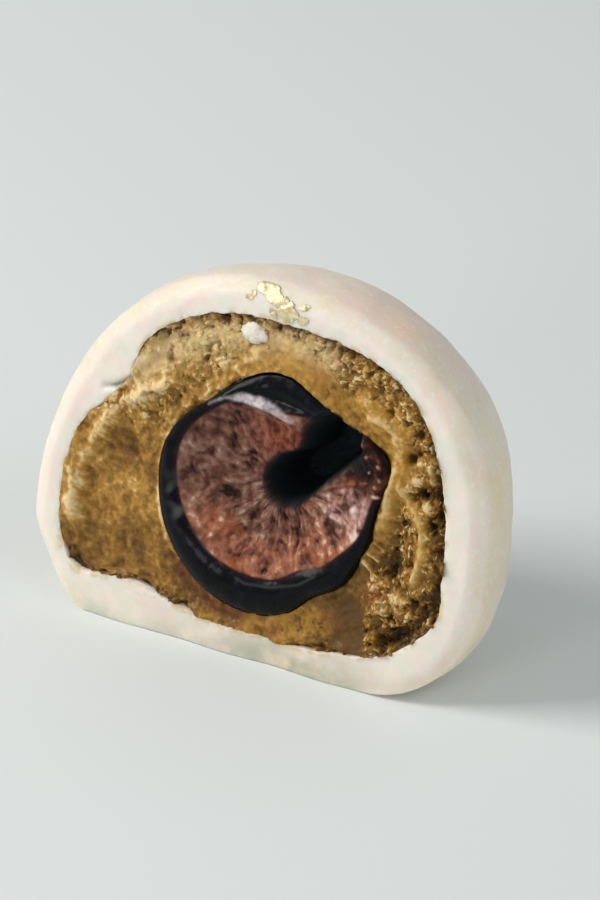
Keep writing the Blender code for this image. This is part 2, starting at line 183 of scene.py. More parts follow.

# Lumps and holes of the paste, as (across, along, how proud, width, how much paler). Holes are darker as
# painted shade; lumps are paler, partly as painted light.
PASTE_SPOTS = (
    (-14.9, 16.7, -0.7, 1.4, -0.30), (-15.0, 10.2, 0.10, 2.2, 0.08), (-12.2, 8.0, -0.20, 1.6, -0.05),
    (-13.4, 22.7, 0.40, 0.8, 0.25), (-11.4, 23.7, 0.35, 0.7, 0.25), (17.8, 20.5, -1.4, 0.7, -0.90),
    (14.9, 23.3, -0.9, 0.5, -0.60), (17.4, 17.3, -1.0, 0.5, -0.70), (16.2, 20.2, -0.8, 0.4, -0.70),
    (18.2, 18.6, -0.8, 0.4, -0.60), (15.6, 25.6, -0.7, 0.4, -0.50), (14.2, 13.0, -1.0, 1.1, -0.55),
    (16.4, 9.8, -1.0, 0.4, -0.80), (0.1, 32.0, -0.8, 0.4, -0.60), (-5.4, 31.6, -0.7, 0.7, -0.60),
    (-10.6, 26.7, -0.4, 0.7, -0.40), (13.2, 8.6, 0.55, 0.8, 0.45), (14.9, 9.8, 0.60, 0.8, 0.60),
    (16.3, 8.2, 0.50, 0.6, 0.50), (13.0, 23.3, 0.20, 0.5, 0.30), (-2.0, 28.9, 0.30, 0.8, 0.40),
    (14.5, 27.0, 0.30, 0.7, 0.30), (8.0, 31.2, 0.20, 0.8, 0.30), (10.8, 30.2, 0.20, 0.6, 0.20),
    (12.2, 10.3, 0.45, 0.6, 0.30), (15.9, 23.1, 0.45, 0.5, 0.60), (17.2, 22.8, 0.45, 0.5, 0.65),
    (15.8, 21.4, 0.45, 0.5, 0.55), (16.9, 19.2, 0.35, 0.4, 0.55), (17.3, 21.6, 0.40, 0.4, 0.60),
    (12.9, 10.9, 0.30, 0.4, 0.40), (-7.2, 29.3, 0.25, 0.8, 0.40), (-4.6, 27.6, 0.20, 0.7, 0.30),
    (-13.0, 26.0, 0.25, 0.8, 0.45),
)

# Crumbs of the paste, as (share of a lump's size, seed, how proud, contrast of their tones).
CRUMB_SIZES = ((1.0, 3.0, 0.36, 0.40), (0.55, 11.0, 0.50, 0.55), (0.32, 17.0, 0.50, 0.55))

# Spots on the cut face, as (across, along, width, strength).
FACET = ((9.9, 7.3, 1.9, 1.0), (10.0, 4.8, 1.9, 1.0))
WARM_SPOTS = ((8.0, 6.1, 0.9, 1.0), (12.1, 9.6, 1.1, 0.8), (5.0, 28.6, 0.9, 0.7), (2.2, 3.6, 0.9, 0.6))
RED_FLESH = ((1.4, 21.8, 2.9, 1.0),)
HOLLOW_DENT = ((2.3, 21.5, 1.7, 1.0),)
TORN_DOTS = (
    (9.9, 23.5, 0.40, 1.0),
    (10.5, 22.3, 0.24, 1.0),
    (11.9, 21.9, 0.30, 1.0),
    (10.9, 21.0, 0.20, 1.0),
    (12.2, 20.6, 0.26, 1.0),
)

# A warm spot on the skin's crown and a tan one at its far right, in the design frame.
BLUSH_SPOT = np.array((11.2, 8.7, 33.0))
TAN_SPOT = np.array((22.6, 6.1, 19.5))

# The scrap of dough on the paste, and the flakes as (across, along, length, width, turn, seed).
SCRAP_MIDDLE = np.array((-2.2, 31.0))
SCRAP_HALF = np.array((1.35, 0.95))
SCRAP_DEPTH = 0.30
SCRAP_THICK = 0.55
FLAKES = (
    (-0.8, 35.3, 3.3, 1.5, -0.5, 17.0),
    (1.2, 34.0, 2.4, 1.9, -0.4, 1.0),
    (-2.7, 34.6, 1.1, 0.7, 0.7, 5.0),
    (2.9, 33.5, 1.1, 0.7, 0.2, 8.0),
    (-0.2, 33.5, 0.9, 0.6, -0.8, 13.0),
    (2.9, 34.7, 0.8, 0.5, 0.4, 23.0),
)
FLAKE_POINTS = 26
FLAKE_LIFT = 0.10
LEAF_THICK = 0.05

# The photograph's camera, with a longer lens, so that the half fills the picture. Lengths are in metres.
VIEW_AZIMUTH = math.radians(30.6)
VIEW_ELEVATION = math.radians(27.9)
VIEW_DISTANCE = 0.540
VIEW_HEIGHT = 0.0165
SENSOR_MM = 36.0
LENS_MM = 236.0
FLOOR_HALF = 1.5

# Each light as (name, size, colour, (how far left of the view's line, behind the object and up)), in metres.
LIGHTS = (
    ("key", 0.30, (1.0, 0.97, 0.93), (0.46, 0.02, 0.36)),
    ("fill", 0.50, (0.93, 0.97, 1.0), (-0.45, -0.35, 0.40)),
    ("window", 0.14, (1.0, 0.98, 0.96), (0.30, -0.42, 0.16)),
)
SKY_COLOUR = (0.94, 0.97, 1.0, 1.0)


# ---------------------------------------------------------------- forms


def held(value):
    return np.clip(value, 0.0, 1.0)


def smooth_step(value):
    """0 below 0, 1 above 1, and an even rise between."""
    value = held(value)
    return value * value * (3.0 - 2.0 * value)


def rising(value, start, run):
    """0 at the start and 1 a run further on. A negative run turns it round."""
    return smooth_step((value - start) / run)


def bell(value, width):
    """A bump of height 1 at 0 that is all but gone two widths away."""
    return np.exp(-((value / width) ** 2))


def near(value, middle, width):
    return bell(value - middle, width)


def near_turn(angle, middle, width):
    """A bump at an angle, with its middle and its width in degrees."""
    return bell((np.degrees(angle) - middle + 180.0) % 360.0 - 180.0, width)


def between(low, high, share):
    return low + (high - low) * share


def complement(share, power):
    """The other leg of a superellipse's quarter, from 1 at 0 to 0 at 1."""
    return np.maximum(0.0, 1.0 - held(share) ** power) ** (1.0 / power)


def round_turn(count):
    return np.linspace(0.0, 2.0 * math.pi, count, endpoint=False)


def unit(angle):
    return np.stack([np.cos(angle), np.sin(angle)], -1)


def drum(angle, radius, length):
    """Places on a drum, for noise that is drawn out along it or round it."""
    return np.stack([radius * np.cos(angle), radius * np.sin(angle), length], -1)


def moved(at, right, up):
    return at + np.stack([right, up], -1)


def on_face(at, depth=0.0):
    """Places in space from places on the cut face."""
    return at[..., :1] * ACROSS + at[..., 1:] * UP_FACE - np.asarray(depth)[..., None] * OUT_OF_FACE


def on_level(at, level=0.0):
    return np.concatenate([at, np.full((*at.shape[:-1], 1), level)], -1)


def noise_at(spots, per_unit, seed=0.0):
    """Smooth noise from -1 to 1 at each place."""
    scaled = spots.reshape(-1, 3) * per_unit + seed
    found = [noise.noise(Vector(spot)) for spot in scaled.tolist()]
    return np.array(found).reshape(spots.shape[:-1])


def face_noise(at, per_mm, level=0.0):
    """Smooth noise on the cut face, where level picks one of many patterns."""
    return noise_at(on_level(at, level), per_mm)


def cells_at(at, cell, seed):
    """Distance to the middle of the nearest grain, in cells, and a share from 0 to 1 of that grain's own."""
    spots = on_level(at).reshape(-1, 3) / cell + seed
    found = [noise.voronoi(Vector(spot)) for spot in spots.tolist()]
    away = np.array([item[0][0] for item in found])
    middle = np.array([tuple(item[1][0]) for item in found])
    own = np.modf(np.abs(np.sin(middle @ (12.99, 78.23, 37.72))) * 43758.55)[0]
    return away.reshape(at.shape[:-1]), own.reshape(at.shape[:-1])


def beside(at, start, end):
    """How far along a straight line places lie, from 0 to 1, and how far off it."""
    course = np.subtract(end, start)
    share = held((at - start) @ course / (course @ course))
    return share, np.linalg.norm(at - start - share[..., None] * course, axis=-1)


def distance_to_route(at, route):
    """How far places on the cut face lie from a line through the route's points."""
    return np.min([beside(at, start, end)[1] for start, end in zip(route, route[1:])], axis=0)


def line_at(at, route, width):
    return bell(distance_to_route(at, route), width)


def spots_at(at, spots):
    """Round bumps on the cut face, each given as (across, along, width, height)."""
    return sum(height * bell(np.linalg.norm(at - (x, y), axis=-1), width) for x, y, width, height in spots)


@dataclasses.dataclass
class Dome:
    """A sagged ball: a superellipse above its waist, and a corner that curls in below it to a flat floor.

    A pair of sizes holds the one for the left side and the one for the right.
    """

    half_width: tuple
    half_depth: float
    top: float
    waist: tuple
    roundness: tuple
    floor: float
    floor_radius: tuple
    corner: tuple
    tuck: float = 0.0
    folds: tuple = ()

    def radius(self, height, right):
        """How far the side lies from the middle at a height, where right runs from -1 on the left to 1."""
        side = 0.5 + 0.5 * right
        widest = between(*self.half_width, side)
        waist = between(*self.waist, side)
        foot = between(*self.floor_radius, side)
        drop = (waist - height) / (waist - self.floor)
        low = foot + (widest - foot) * complement(drop, between(*self.corner, side))
        tucked = self.tuck * near(height, TUCK_HEIGHT, TUCK_REACH) * smooth_step(-2.0 * right - 0.6)
        climb = (height - waist) / (self.top - waist)
        high = widest * complement(climb, between(*self.roundness, side)) - tucked
        return np.where(height < waist, low, high)

    def covers(self, spots):
        """Which places lie within the dome."""
        height = spots[..., 2]
        lifted = sum(fold * near(spots[..., 0], across, width) for across, fold, width in self.folds)
        level = height
        for _ in range(FOLD_STEPS if self.folds else 0):
            level = height - lifted * (1.0 - rising(level, self.floor, FOOT_HEIGHT))
        away_x = spots[..., 0] - MIDDLE_ACROSS
        squash = 2.0 * self.half_depth / sum(self.half_width)
        away_y = (spots[..., 1] - MIDDLE_BACK - LEAN_BACK * level) / squash
        flat = np.hypot(away_x, away_y)
        inside = flat < self.radius(level, away_x / np.maximum(flat, TINY))
        return inside & (level >= self.floor) & (level <= self.top)

    def reach(self, directions):
        """Where rays from the middle of the cut face leave the dome, found by halving."""
        start = on_face(FACE_MIDDLE)
        inner, outer = np.zeros(directions.shape[:-1]), np.full(directions.shape[:-1], LONGEST_RAY)
        for _ in range(HALVINGS):
            middle = 0.5 * (inner + outer)
            inside = self.covers(start + middle[..., None] * directions)
            inner, outer = np.where(inside, middle, inner), np.where(inside, outer, middle)
        return inner

    def shell(self, angles, tilts):
        """The surface at angles round the cut face and tilts behind it, in degrees, uneven as by hand."""
        angle, tilt = np.meshgrid(angles, np.radians(tilts))
        directions = on_face(np.cos(tilt)[..., None] * unit(angle), np.sin(tilt))
        spots = on_face(FACE_MIDDLE) + self.reach(directions)[..., None] * directions
        wide, narrow = noise_at(spots, 0.26, 7.0), noise_at(spots, 0.62, 9.0)
        dents = np.minimum(0.0, wide) + 0.5 * np.minimum(0.0, narrow)
        bump = UNEVEN * noise_at(spots, 0.095) + DENTS * dents
        bump *= rising(spots[..., 2], self.floor, FOOT_HEIGHT)
        return spots + bump[..., None] * directions


BALL = Dome(
    half_width=(23.2, 24.4),
    half_depth=17.0,
    top=35.5,
    waist=(7.7, 14.5),
    roundness=(2.0, 2.23),
    floor=0.0,
    floor_radius=(17.0, 12.1),
    corner=(1.3, 2.4),
)
ROOM = Dome(
    half_width=(20.2, 20.8),
    half_depth=14.3,
    top=32.4,
    waist=(9.3, 9.3),
    roundness=(2.0, 3.15),
    floor=2.4,
    floor_radius=(16.4, 12.0),
    corner=(1.9, 1.4),
    tuck=TUCK_DEPTH,
    folds=FLOOR_FOLDS,
)
PASTE = dataclasses.replace(
    ROOM,
    half_width=(19.9, 20.5),
    half_depth=14.0,
    top=32.1,
    floor=2.7,
    floor_radius=(16.1, 11.7),
)


def face_radius(dome, angles):
    """How far a dome's edge lies from the middle of the cut face, round it."""
    return dome.reach(on_face(unit(angles)))


def room_edge(angles):
    """The line between skin and paste on the cut face, a little ragged, as a radius round its middle."""
    turn = on_level(unit(angles))
    return face_radius(ROOM, angles) + 0.16 * noise_at(turn, 13.0, 2.0) + 0.10 * noise_at(turn, 42.0, 5.0)


def fruit_radius(angle):
    bumps = sum(height * near_turn(angle, at, width) for at, height, width in FRUIT_BUMPS)
    return FRUIT_RADIUS * (1.0 + bumps)


def peel_share(angle):
    """How much of the fruit's radius is dark peel: wide at the bottom and in the lobe at the crown."""
    away_from_wide = 0.5 - 0.5 * np.cos(angle - math.radians(PEEL_WIDE_ANGLE))
    return between(*PEEL_SHARE, away_from_wide**0.8) + 0.25 * near_turn(angle, *CROWN_LOBE)


def fruit_polar(at):
    """Angle round the fruit, and the share of the fruit's radius, of places on the cut face."""
    right, up = np.moveaxis(at - FRUIT_MIDDLE, -1, 0)
    angle = np.arctan2(up, right)
    return angle, np.hypot(right, up) / fruit_radius(angle)


# ---------------------------------------------------------------- reliefs


def skin_depth(at, inset, lip_round, lip_drop):
    """Depth of the skin's cut edge at a distance in from the rim, over which it rolls except at the foot."""
    lip = lip_drop * held(1.0 - np.maximum(0.0, inset) / lip_round) ** 2
    wave = SKIN_WAVE * face_noise(at, 0.19)
    drag = 0.05 * face_noise(at, 0.9, 20.0) + 0.03 * face_noise(at, 2.6)
    crease = 0.38 * line_at(at, TUCK_CREASE, 0.30)
    return lip * smooth_step(at[..., 1] / LIP_FADES_BELOW) + wave + drag * rising(inset, 0.0, 0.8) + crease


def paste_zones(at, inset):
    """Shares from 0 to 1 that say what each place on the paste is like, and how far it lies off the fruit."""
    across, along = np.moveaxis(at, -1, 0)
    angle, share = fruit_polar(at)
    off_fruit = np.maximum(0.0, share - 1.0) * FRUIT_RADIUS
    right_side, upper_side = rising(across, -1.0, 9.0), rising(along, 23.0, 6.0)
    facet_side = 12.3 + 0.9 * face_noise(at, 0.62, 150.0)
    facet = held(1.25 * spots_at(at, FACET)) * smooth_step((facet_side - across) / 0.9)
    smeared = np.maximum(line_at(at, RIDGE_RIGHT, 1.3), line_at(at, RIDGE_BRANCH, 0.6))
    smear_low = held(1.5 * line_at(at, SMEAR_LOW, 1.7))
    crust = line_at(at, PALE_CRUST, 1.7)
    # Coarse at the right and the top, but not against the fruit, nor where the knife smeared it.
    coarse = np.max([right_side, 0.8 * upper_side, 0.42 * rising(along, 18.0, 3.0)], axis=0)
    coarse *= rising(off_fruit, 0.8 + 1.6 * near_turn(angle, 78, 34), 1.2)
    coarse *= (1.0 - facet) * (1.0 - 0.9 * smeared) * (1.0 - smear_low)
    low_left = rising(inset, 1.9, -1.4) * rising(along, 8.0, -2.5) * rising(across, -4.0, -4.0)
    coarse = np.maximum(coarse, 0.55 * low_left) * (1.0 - 0.45 * crust)
    left_edge = 0.36 * bell(inset, 0.9) * rising(across, -9.0, -6.0) * rising(along, 8.0, 4.0)
    dough = np.maximum(line_at(at, DOUGH_SMEAR, 1.0), left_edge) + 0.35 * face_noise(at, 0.9, 190.0)
    ooze = 0.8 * bell(off_fruit, 0.7) * rising(along, 11.0, -6.0) * rising(across, 1.0, -3.0)
    gold_low = smear_low * smooth_step(0.7 + 1.3 * face_noise(at, 0.42, 130.0))
    over_fruit = near_turn(angle, 80, 30) * near(off_fruit, 1.2, 1.3)
    return {
        "coarse": held(coarse),
        "crust": crust,
        "dough": rising(dough, 0.35, 0.3),
        "juice": held(line_at(at, JUICE, 1.2) + ooze),
        "golden": held(np.max([gold_low, over_fruit, 0.8 * smeared], axis=0)),
        "facet": facet,
        "warm": held(spots_at(at, WARM_SPOTS)),
        "right_side": right_side,
        "upper_side": upper_side,
        "off_fruit": off_fruit,
    }


def bent_places(at, lump):
    """Places on the paste, shifted by noise so that its crumbs and crevices come out ragged."""
    bent = at
    for strength, per_mm, level in ((0.5, 0.9, 210.0), (0.42, 2.3, 230.0)):
        right, up = face_noise(at, per_mm, level), face_noise(at, per_mm, level + 10.0)
        bent = moved(bent, strength * lump * right, strength * lump * up)
    return bent


def crumb_relief(bent, coarse, large, lump):
    """How proud the ragged crumbs of three sizes stand, and how much paler each is than the paste, with
    painted light on their tops and painted shade round their feet.
    """
    height, paler = 0.0, 0.0
    for size, seed, proud, contrast in CRUMB_SIZES:
        away, own = cells_at(bent, size * lump, seed)
        share_of = coarse * (large if size == 1.0 else 1.0)
        round_top = held(1.0 - (away / 0.72) ** 2)
        height += proud * size * lump * share_of * (0.3 + 0.7 * own) * round_top
        # Each crumb's own tone, and painted light and shade: tops paler, edges darker.
        paler += contrast * share_of * (own - 0.50) * round_top + 0.18 * share_of * (round_top - 0.6)
    # A few crumbs much paler: pale grains, with painted glints on them.
    return height, paler + 0.40 * rising(own, 0.78, 0.08) * smooth_step(2.5 * round_top) * coarse


def crevices(at, bent, inset, coarse, upper_left):
    """Shares from 0 to 1 of the holes and crevices between crumbs and of the trench along the skin, which
    sink and are painted dark as painted shade.
    """
    seam = held(1.0 - np.abs(face_noise(bent, 0.56, 310.0)) / 0.12)
    seam *= smooth_step(0.15 + 1.6 * face_noise(at, 0.3, 370.0) + 0.8 * bell(inset, 1.6))
    holes = rising(face_noise(bent, 1.05, 330.0), 0.34, 0.22)
    trench = near(inset, 0.2, 0.5) * smooth_step(0.35 + 1.7 * face_noise(at, 0.62, 50.0))
    return held(seam + 0.8 * holes + trench * (1.0 - 0.7 * upper_left)) * smooth_step(2.2 * coarse - 0.4)


def smear_relief(at, bent, zones, upper_left):
    """Depth and tone of the smear's streaks round the fruit, a pale line at its lower left, and the grain."""
    smooth, off_fruit, facet = 1.0 - zones["coarse"], zones["off_fruit"], zones["facet"]
    angle, share = fruit_polar(at)
    streaks = drum(angle, 5.0, 24.0 * share)
    broad, fine = noise_at(streaks, 0.3, 5.0), noise_at(streaks, 0.82, 9.0)
    lining = near(off_fruit, 0.25, 0.30) * (0.2 + 0.8 * near_turn(angle, 208, 30))
    over_fruit = near_turn(angle, 100, 24) * near(off_fruit, 1.5, 1.6)
    grit, grain = face_noise(at, 3.4, 410.0), face_noise(at, 1.5, 430.0)
    mottle = face_noise(bent, 0.64, 470.0)
    granular = smooth * (1.0 + 0.6 * upper_left - 0.6 * facet)
    depth = smooth * (0.20 * broad + 0.09 * fine) - 0.22 * lining
    depth += 0.05 * grit * (0.6 + 1.6 * zones["coarse"]) + granular * (0.13 * grain + 0.26 * mottle)
    tone = 0.35 * lining + 0.10 * over_fruit + 0.18 * grit - 0.12 * facet
    # Painted shade: the streaks and the grain darken where they sink.
    tone -= smooth * (0.10 * broad + 0.12 * fine) + granular * (0.24 * grain + 0.16 * mottle)
    return depth, tone


def paste_depth(at, inset, zones, lump, pit_depth):
    """Depth, tone and crevices of the paste: a smeared dish on the left, wet lumps at the top and right."""
    across, along = np.moveaxis(at, -1, 0)
    coarse, right_side, calm_crust = zones["coarse"], zones["right_side"], 1.0 - 0.6 * zones["crust"]
    crag = face_noise(at, 0.52, 9.0)
    off_skin = rising(inset, 0.0, 1.6)
    depth = 0.35 * (0.3 + 0.7 * off_skin) + 0.40 * off_skin * face_noise(at, 0.16, 4.0)
    lumpy_side = np.maximum(right_side, 0.7 * zones["upper_side"])
    depth += 0.85 * calm_crust * lumpy_side * crag * (0.35 + 0.65 * coarse)
    depth += 0.9 * off_skin * near(across, -15.0, 4.5) * near(along, 12.5, 6.5)
    upper_left = rising(along, 17.0, 4.0) * rising(across, 2.0, -8.0)
    # Painted shade: where the crags sink, the tone falls.
    tone = 0.52 + 0.12 * face_noise(at, 0.26, 110.0) + coarse * (0.06 - 0.25 * crag) + 0.09 * upper_left
    tone -= 0.12 * rising(across, -5.0, -5.0) * rising(along, 13.0, -6.0)
    tone -= 0.07 * right_side * rising(along, 16.0, -6.0)
    broken = 1.0 + 0.5 * face_noise(at, 0.7, 160.0)
    # Ridges, lumps and holes: paler where proud and darker where sunk, partly their own tone and partly
    # painted light and shade.
    for route, proud, width, paler in PASTE_RIDGES:
        line = line_at(at, route, width) * broken
        depth -= proud * line
        tone += paler * line
    for x, y, proud, width, paler in PASTE_SPOTS:
        spot = spots_at(at, ((x, y, width, 1.0),))
        depth -= proud * spot
        tone += paler * spot
    bent = bent_places(at, lump)
    large = held(1.0 - 0.9 * upper_left - 0.5 * zones["crust"])
    crumbs, crumb_tone = crumb_relief(bent, coarse, large, lump)
    pits = crevices(at, bent, inset, coarse, upper_left)
    smear, smear_tone = smear_relief(at, bent, zones, upper_left)
    depth += smear - crumbs + pit_depth * pits * calm_crust
    return depth, held(tone + crumb_tone + smear_tone), pits


def hollow_inset(at):
    """How far inside the stone hollow's outline a place lies."""
    share, away = beside(at, HOLLOW_START, HOLLOW_END)
    return between(*HOLLOW_RADII, share) - away - 0.9 * spots_at(at, HOLLOW_DENT)


def torn_rim(at, angle, share):
    """The rim beyond the hollow's lower lip: how torn it is, its dark beads, and its pale dots and fibres."""
    torn = near_turn(angle, 30, 13) * rising(share, 0.62, 0.14)
    broken = smooth_step(0.55 + 1.3 * face_noise(at, 1.3, 550.0))
    ragged = 0.14 * face_noise(at, 1.5, 560.0)
    away = np.min([np.linalg.norm(at - bead, axis=-1) for bead in TORN_BEADS], axis=0) + ragged
    dots = smooth_step(2.2 * spots_at(moved(at, ragged, -1.5 * ragged), TORN_DOTS) - 0.7)
    rims = near(away, 0.55, 0.20) * broken
    shifted = moved(at, ragged, -ragged)
    pale_fibres = sum(line_at(shifted, route, 0.26) for route in TORN_FIBRES_PALE) * broken
    amber_fibre = line_at(moved(at, ragged, 2.0 * ragged), TORN_FIBRE_AMBER, 0.45) * (0.5 + 0.5 * broken)
    stripe = np.max([0.55 * amber_fibre, 0.75 * dots, 0.40 * rims, pale_fibres], axis=0)
    return held(1.4 * torn + amber_fibre + pale_fibres), bell(away, 0.45), stripe


def peel_ring(angle, share, around):
    """Depth of the peel: a rounded ring that stands proud, with a sunken lobe at the crown and wrinkles."""
    wrinkle = drum(angle, 1.0, 0.25 * share)
    ring = -0.9 * np.sin(math.pi * (0.15 + 0.8 * around)) + 0.55 * rising(around, 0.86, 0.14)
    ring += 0.9 * near_turn(angle, *CROWN_LOBE) * rising(around, 0.0, 0.25)
    return ring + 0.10 * noise_at(wrinkle, 7.0, 2.0) + 0.02 * noise_at(wrinkle, 19.0, 4.0)


def flesh_grain(at):
    """Short fibres of the flesh that run out from the hollow, its blotches, and beads of juice on it."""
    right, up = np.moveaxis(at - HOLLOW_START, -1, 0)
    fibre = drum(np.arctan2(up, right), 7.5, np.hypot(right, up) / 1.5)
    fibre += 0.8 * face_noise(at, 0.52, 510.0)[..., None]
    fibres = noise_at(fibre, 0.95, 6.0) + 0.6 * noise_at(fibre, 2.3, 8.0)
    blotch = face_noise(at, 0.76, 530.0) + 0.6 * face_noise(at, 1.5, 580.0)
    drops, own = cells_at(moved(at, 0.5 * fibres, 0.3 * blotch), 0.80, 5.0)
    return fibres, blotch, held(1.0 - (drops / 0.70) ** 2) * (0.35 + 0.65 * own)


def fruit_face(at):
    """Depth of the fruit's cut face and the shares that say what each place is like."""
    across = at[..., 0]
    angle, share = fruit_polar(at)
    flesh_edge = 1.0 - peel_share(angle)
    ring = peel_ring(angle, share, held((share - flesh_edge) / (1.0 - flesh_edge)))
    sunk = 1.0 - held(share / flesh_edge) ** 2
    fibres, blotch, bead = flesh_grain(at)
    lower = rising(np.sin(angle - math.radians(20)), 0.35, -0.8)
    red = spots_at(at, RED_FLESH)
    calm = 1.0 - 0.35 * red
    relief = 0.17 * fibres - 0.15 * bead * (0.4 + 0.6 * lower) - 0.12 * blotch
    flesh = 1.7 * sunk - 0.9 * math.sin(math.pi * 0.15) + calm * smooth_step(5.0 * sunk) * relief
    # A wet ledge stands above the hollow, with a painted highlight along it, and beyond the hollow's lower
    # lip the rim is torn.
    ledge = distance_to_route(at, WET_LEDGE)
    ledge_width = between(0.08, 0.46, rising(across, -5.9, 5.0) * rising(across, 4.2, -2.0))
    ledge_shine = between(0.5, 1.0, near(across, -1.4, 2.6))
    flesh -= 0.35 * bell(ledge, 0.8)
    strings, domes, stripe = torn_rim(at, angle, share)
    peel = smooth_step((share - flesh_edge) / 0.035 + 0.5)
    depth = between(flesh, ring, peel * (1.0 - 0.6 * strings)) + 0.25 * strings
    depth -= 0.35 * np.maximum(domes, stripe) * strings + 0.10 * bell(ledge / ledge_width, 1.0)
    inset = hollow_inset(at) + 0.25 * face_noise(at, 0.42, 30.0)
    hollow = 1.6 * rising(inset, 0.0, 0.7) + 4.9 * rising(inset, 0.4, 1.1)
    floor_of_fruit = 0.93 * FRUIT_DEPTH * np.sqrt(held(1.0 - share**2))
    depth = np.minimum(depth + hollow, np.maximum(floor_of_fruit, 0.3))
    # The flesh runs up the ring's inner side where the peel is thin, and at the left a grey gleam is painted
    # on as painted sheen.
    thin = near_turn(angle, 5, 24)
    gleam = near_turn(angle, 197, 17) * near(share - flesh_edge, 0.03, 0.05)
    gleam *= smooth_step(0.4 + 1.6 * face_noise(at, 0.9, 610.0))
    peel_tint = smooth_step((share - flesh_edge - 0.62 * thin * (1.0 - flesh_edge)) / 0.07 + 0.5)
    marks = {
        "peel": peel_tint * (1.0 - strings),
        # sheen: painted sheen at the left and a painted reflection arc along the lower peel.
        "sheen": held(gleam + 0.35 * line_at(at, ARC_OF_LIGHT, 0.11)),
        # hollow: where the stone's hollow is painted near-black as painted shade.
        "hollow": smooth_step(0.5 + inset),
        # The ledge's painted highlight.
        "film": ledge_shine * smooth_step((ledge_width - ledge + 0.10 * fibres) / 0.40 + 0.35),
        # fibre: painted light and shade, paler on the proud beads and blotches as painted glints, darker down
        # the sunk fibres.
        "fibre": held(0.44 + calm * (0.17 * (bead - 0.4) - 0.26 * fibres + 0.26 * blotch)),
        "strings": strings,
        "stripe": held(stripe),
        # low: where the flesh takes the lit copy, painted light on the lower side and up the thin peel at the
        # right.
        "low": held(1.1 * lower * rising(share / flesh_edge, 0.45, 0.3) + 0.45 * thin),
        # pale_flesh: paler flesh at the right, partly its own tone and partly a painted soft sheen.
        "pale_flesh": line_at(at, PALE_FLESH, 1.6),
        "red": red,
    }
    return depth, marks


# ---------------------------------------------------------------- meshes


def add_object(name, data):
    """Makes an object of a mesh, a light or a camera and puts it in the scene."""
    made = bpy.data.objects.new(name, data)
    bpy.context.scene.collection.objects.link(made)
    return made


def closed_rings(name, rings, first_pole, last_pole):
    """A closed mesh through rings of points, each ring in the same order, with a pole at each end."""
    count = rings.shape[1]
    points = (np.concatenate([rings.reshape(-1, 3), [first_pole, last_pole]]) - BOX_MIDDLE) * MM
    index = np.arange(rings.shape[0] * count).reshape(rings.shape[0], count)
    here, after = index[:-1], index[1:]
    quads = np.stack([here, np.roll(here, -1, 1), np.roll(after, -1, 1), after], -1).reshape(-1, 4)
    first, last = len(points) - 2, len(points) - 1
    caps = [(first, b, a) for a, b in zip(index[0], np.roll(index[0], -1))]
    caps += [(last, a, b) for a, b in zip(index[-1], np.roll(index[-1], -1))]
    corners = points[quads[:, :3]] - points.mean(0)
    if np.linalg.det(corners).sum() < 0.0:
        quads, caps = quads[:, ::-1], [cap[::-1] for cap in caps]
    mesh = bpy.data.meshes.new(name)
    mesh.from_pydata(points.tolist(), [], quads.tolist() + [tuple(int(i) for i in cap) for cap in caps])
    mesh.shade_smooth()
    return add_object(name, mesh)


def write_marks(piece, rings_before, marks, rings_after=0):
    """Stores shares as named attributes: 0 for rings before and after, the last ring's mean at its pole."""
    for name, values in marks.items():
        count = values.shape[1]
        blank_before, blank_after = np.zeros(rings_before * count), np.zeros(rings_after * count + 1)
        pole = [0.0 if rings_after else values[-1].mean()]
        attribute = piece.data.attributes.new(name, "FLOAT", "POINT")
        attribute.data.foreach_set("value", np.concatenate([blank_before, values.ravel(), blank_after, pole]))


def add_piece(piece, material, slot, *nodes):
    """Gives a piece its material, its body and the nodes that it replaces. The slot is not used."""
    piece.data.materials.append(material)
    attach(piece, "root")
    if nodes:
        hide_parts(*nodes)


# ---------------------------------------------------------------- materials


def linear(hex_colour):
    """A linear colour from an sRGB one written as hexadecimal digits."""
    parts = [int(hex_colour[i : i + 2], 16) / 255.0 for i in (0, 2, 4)]
    return tuple(part / 12.92 if part <= 0.04045 else ((part + 0.055) / 1.055) ** 2.4 for part in parts)


def rgba(colour):
    """What a colour socket takes, from hexadecimal digits or a setting. A socket stays as it is."""
    if isinstance(colour, bpy.types.NodeSocket):
        return colour
    return (*(linear(colour) if isinstance(colour, str) else colour), 1.0)


def add_node(tree, kind, settings=None, **links):
    """Adds a node. A link's key is an input's name or, after an underscore, its number."""
    node = tree.nodes.new(kind)
    for key, value in (settings or {}).items():
        setattr(node, key, value)
    for key, value in links.items():
        socket = node.inputs[int(key[1:])] if key[0] == "_" else node.inputs[key.replace("_", " ")]
        if isinstance(value, bpy.types.NodeSocket):
            tree.links.new(value, socket)
        else:
            socket.default_value = value
    return node


def reckon(tree, operation, *values):
    """The result of a Math node."""
    links = {f"_{i}": value for i, value in enumerate(values)}
    return add_node(tree, "ShaderNodeMath", {"operation": operation}, **links).outputs[0]


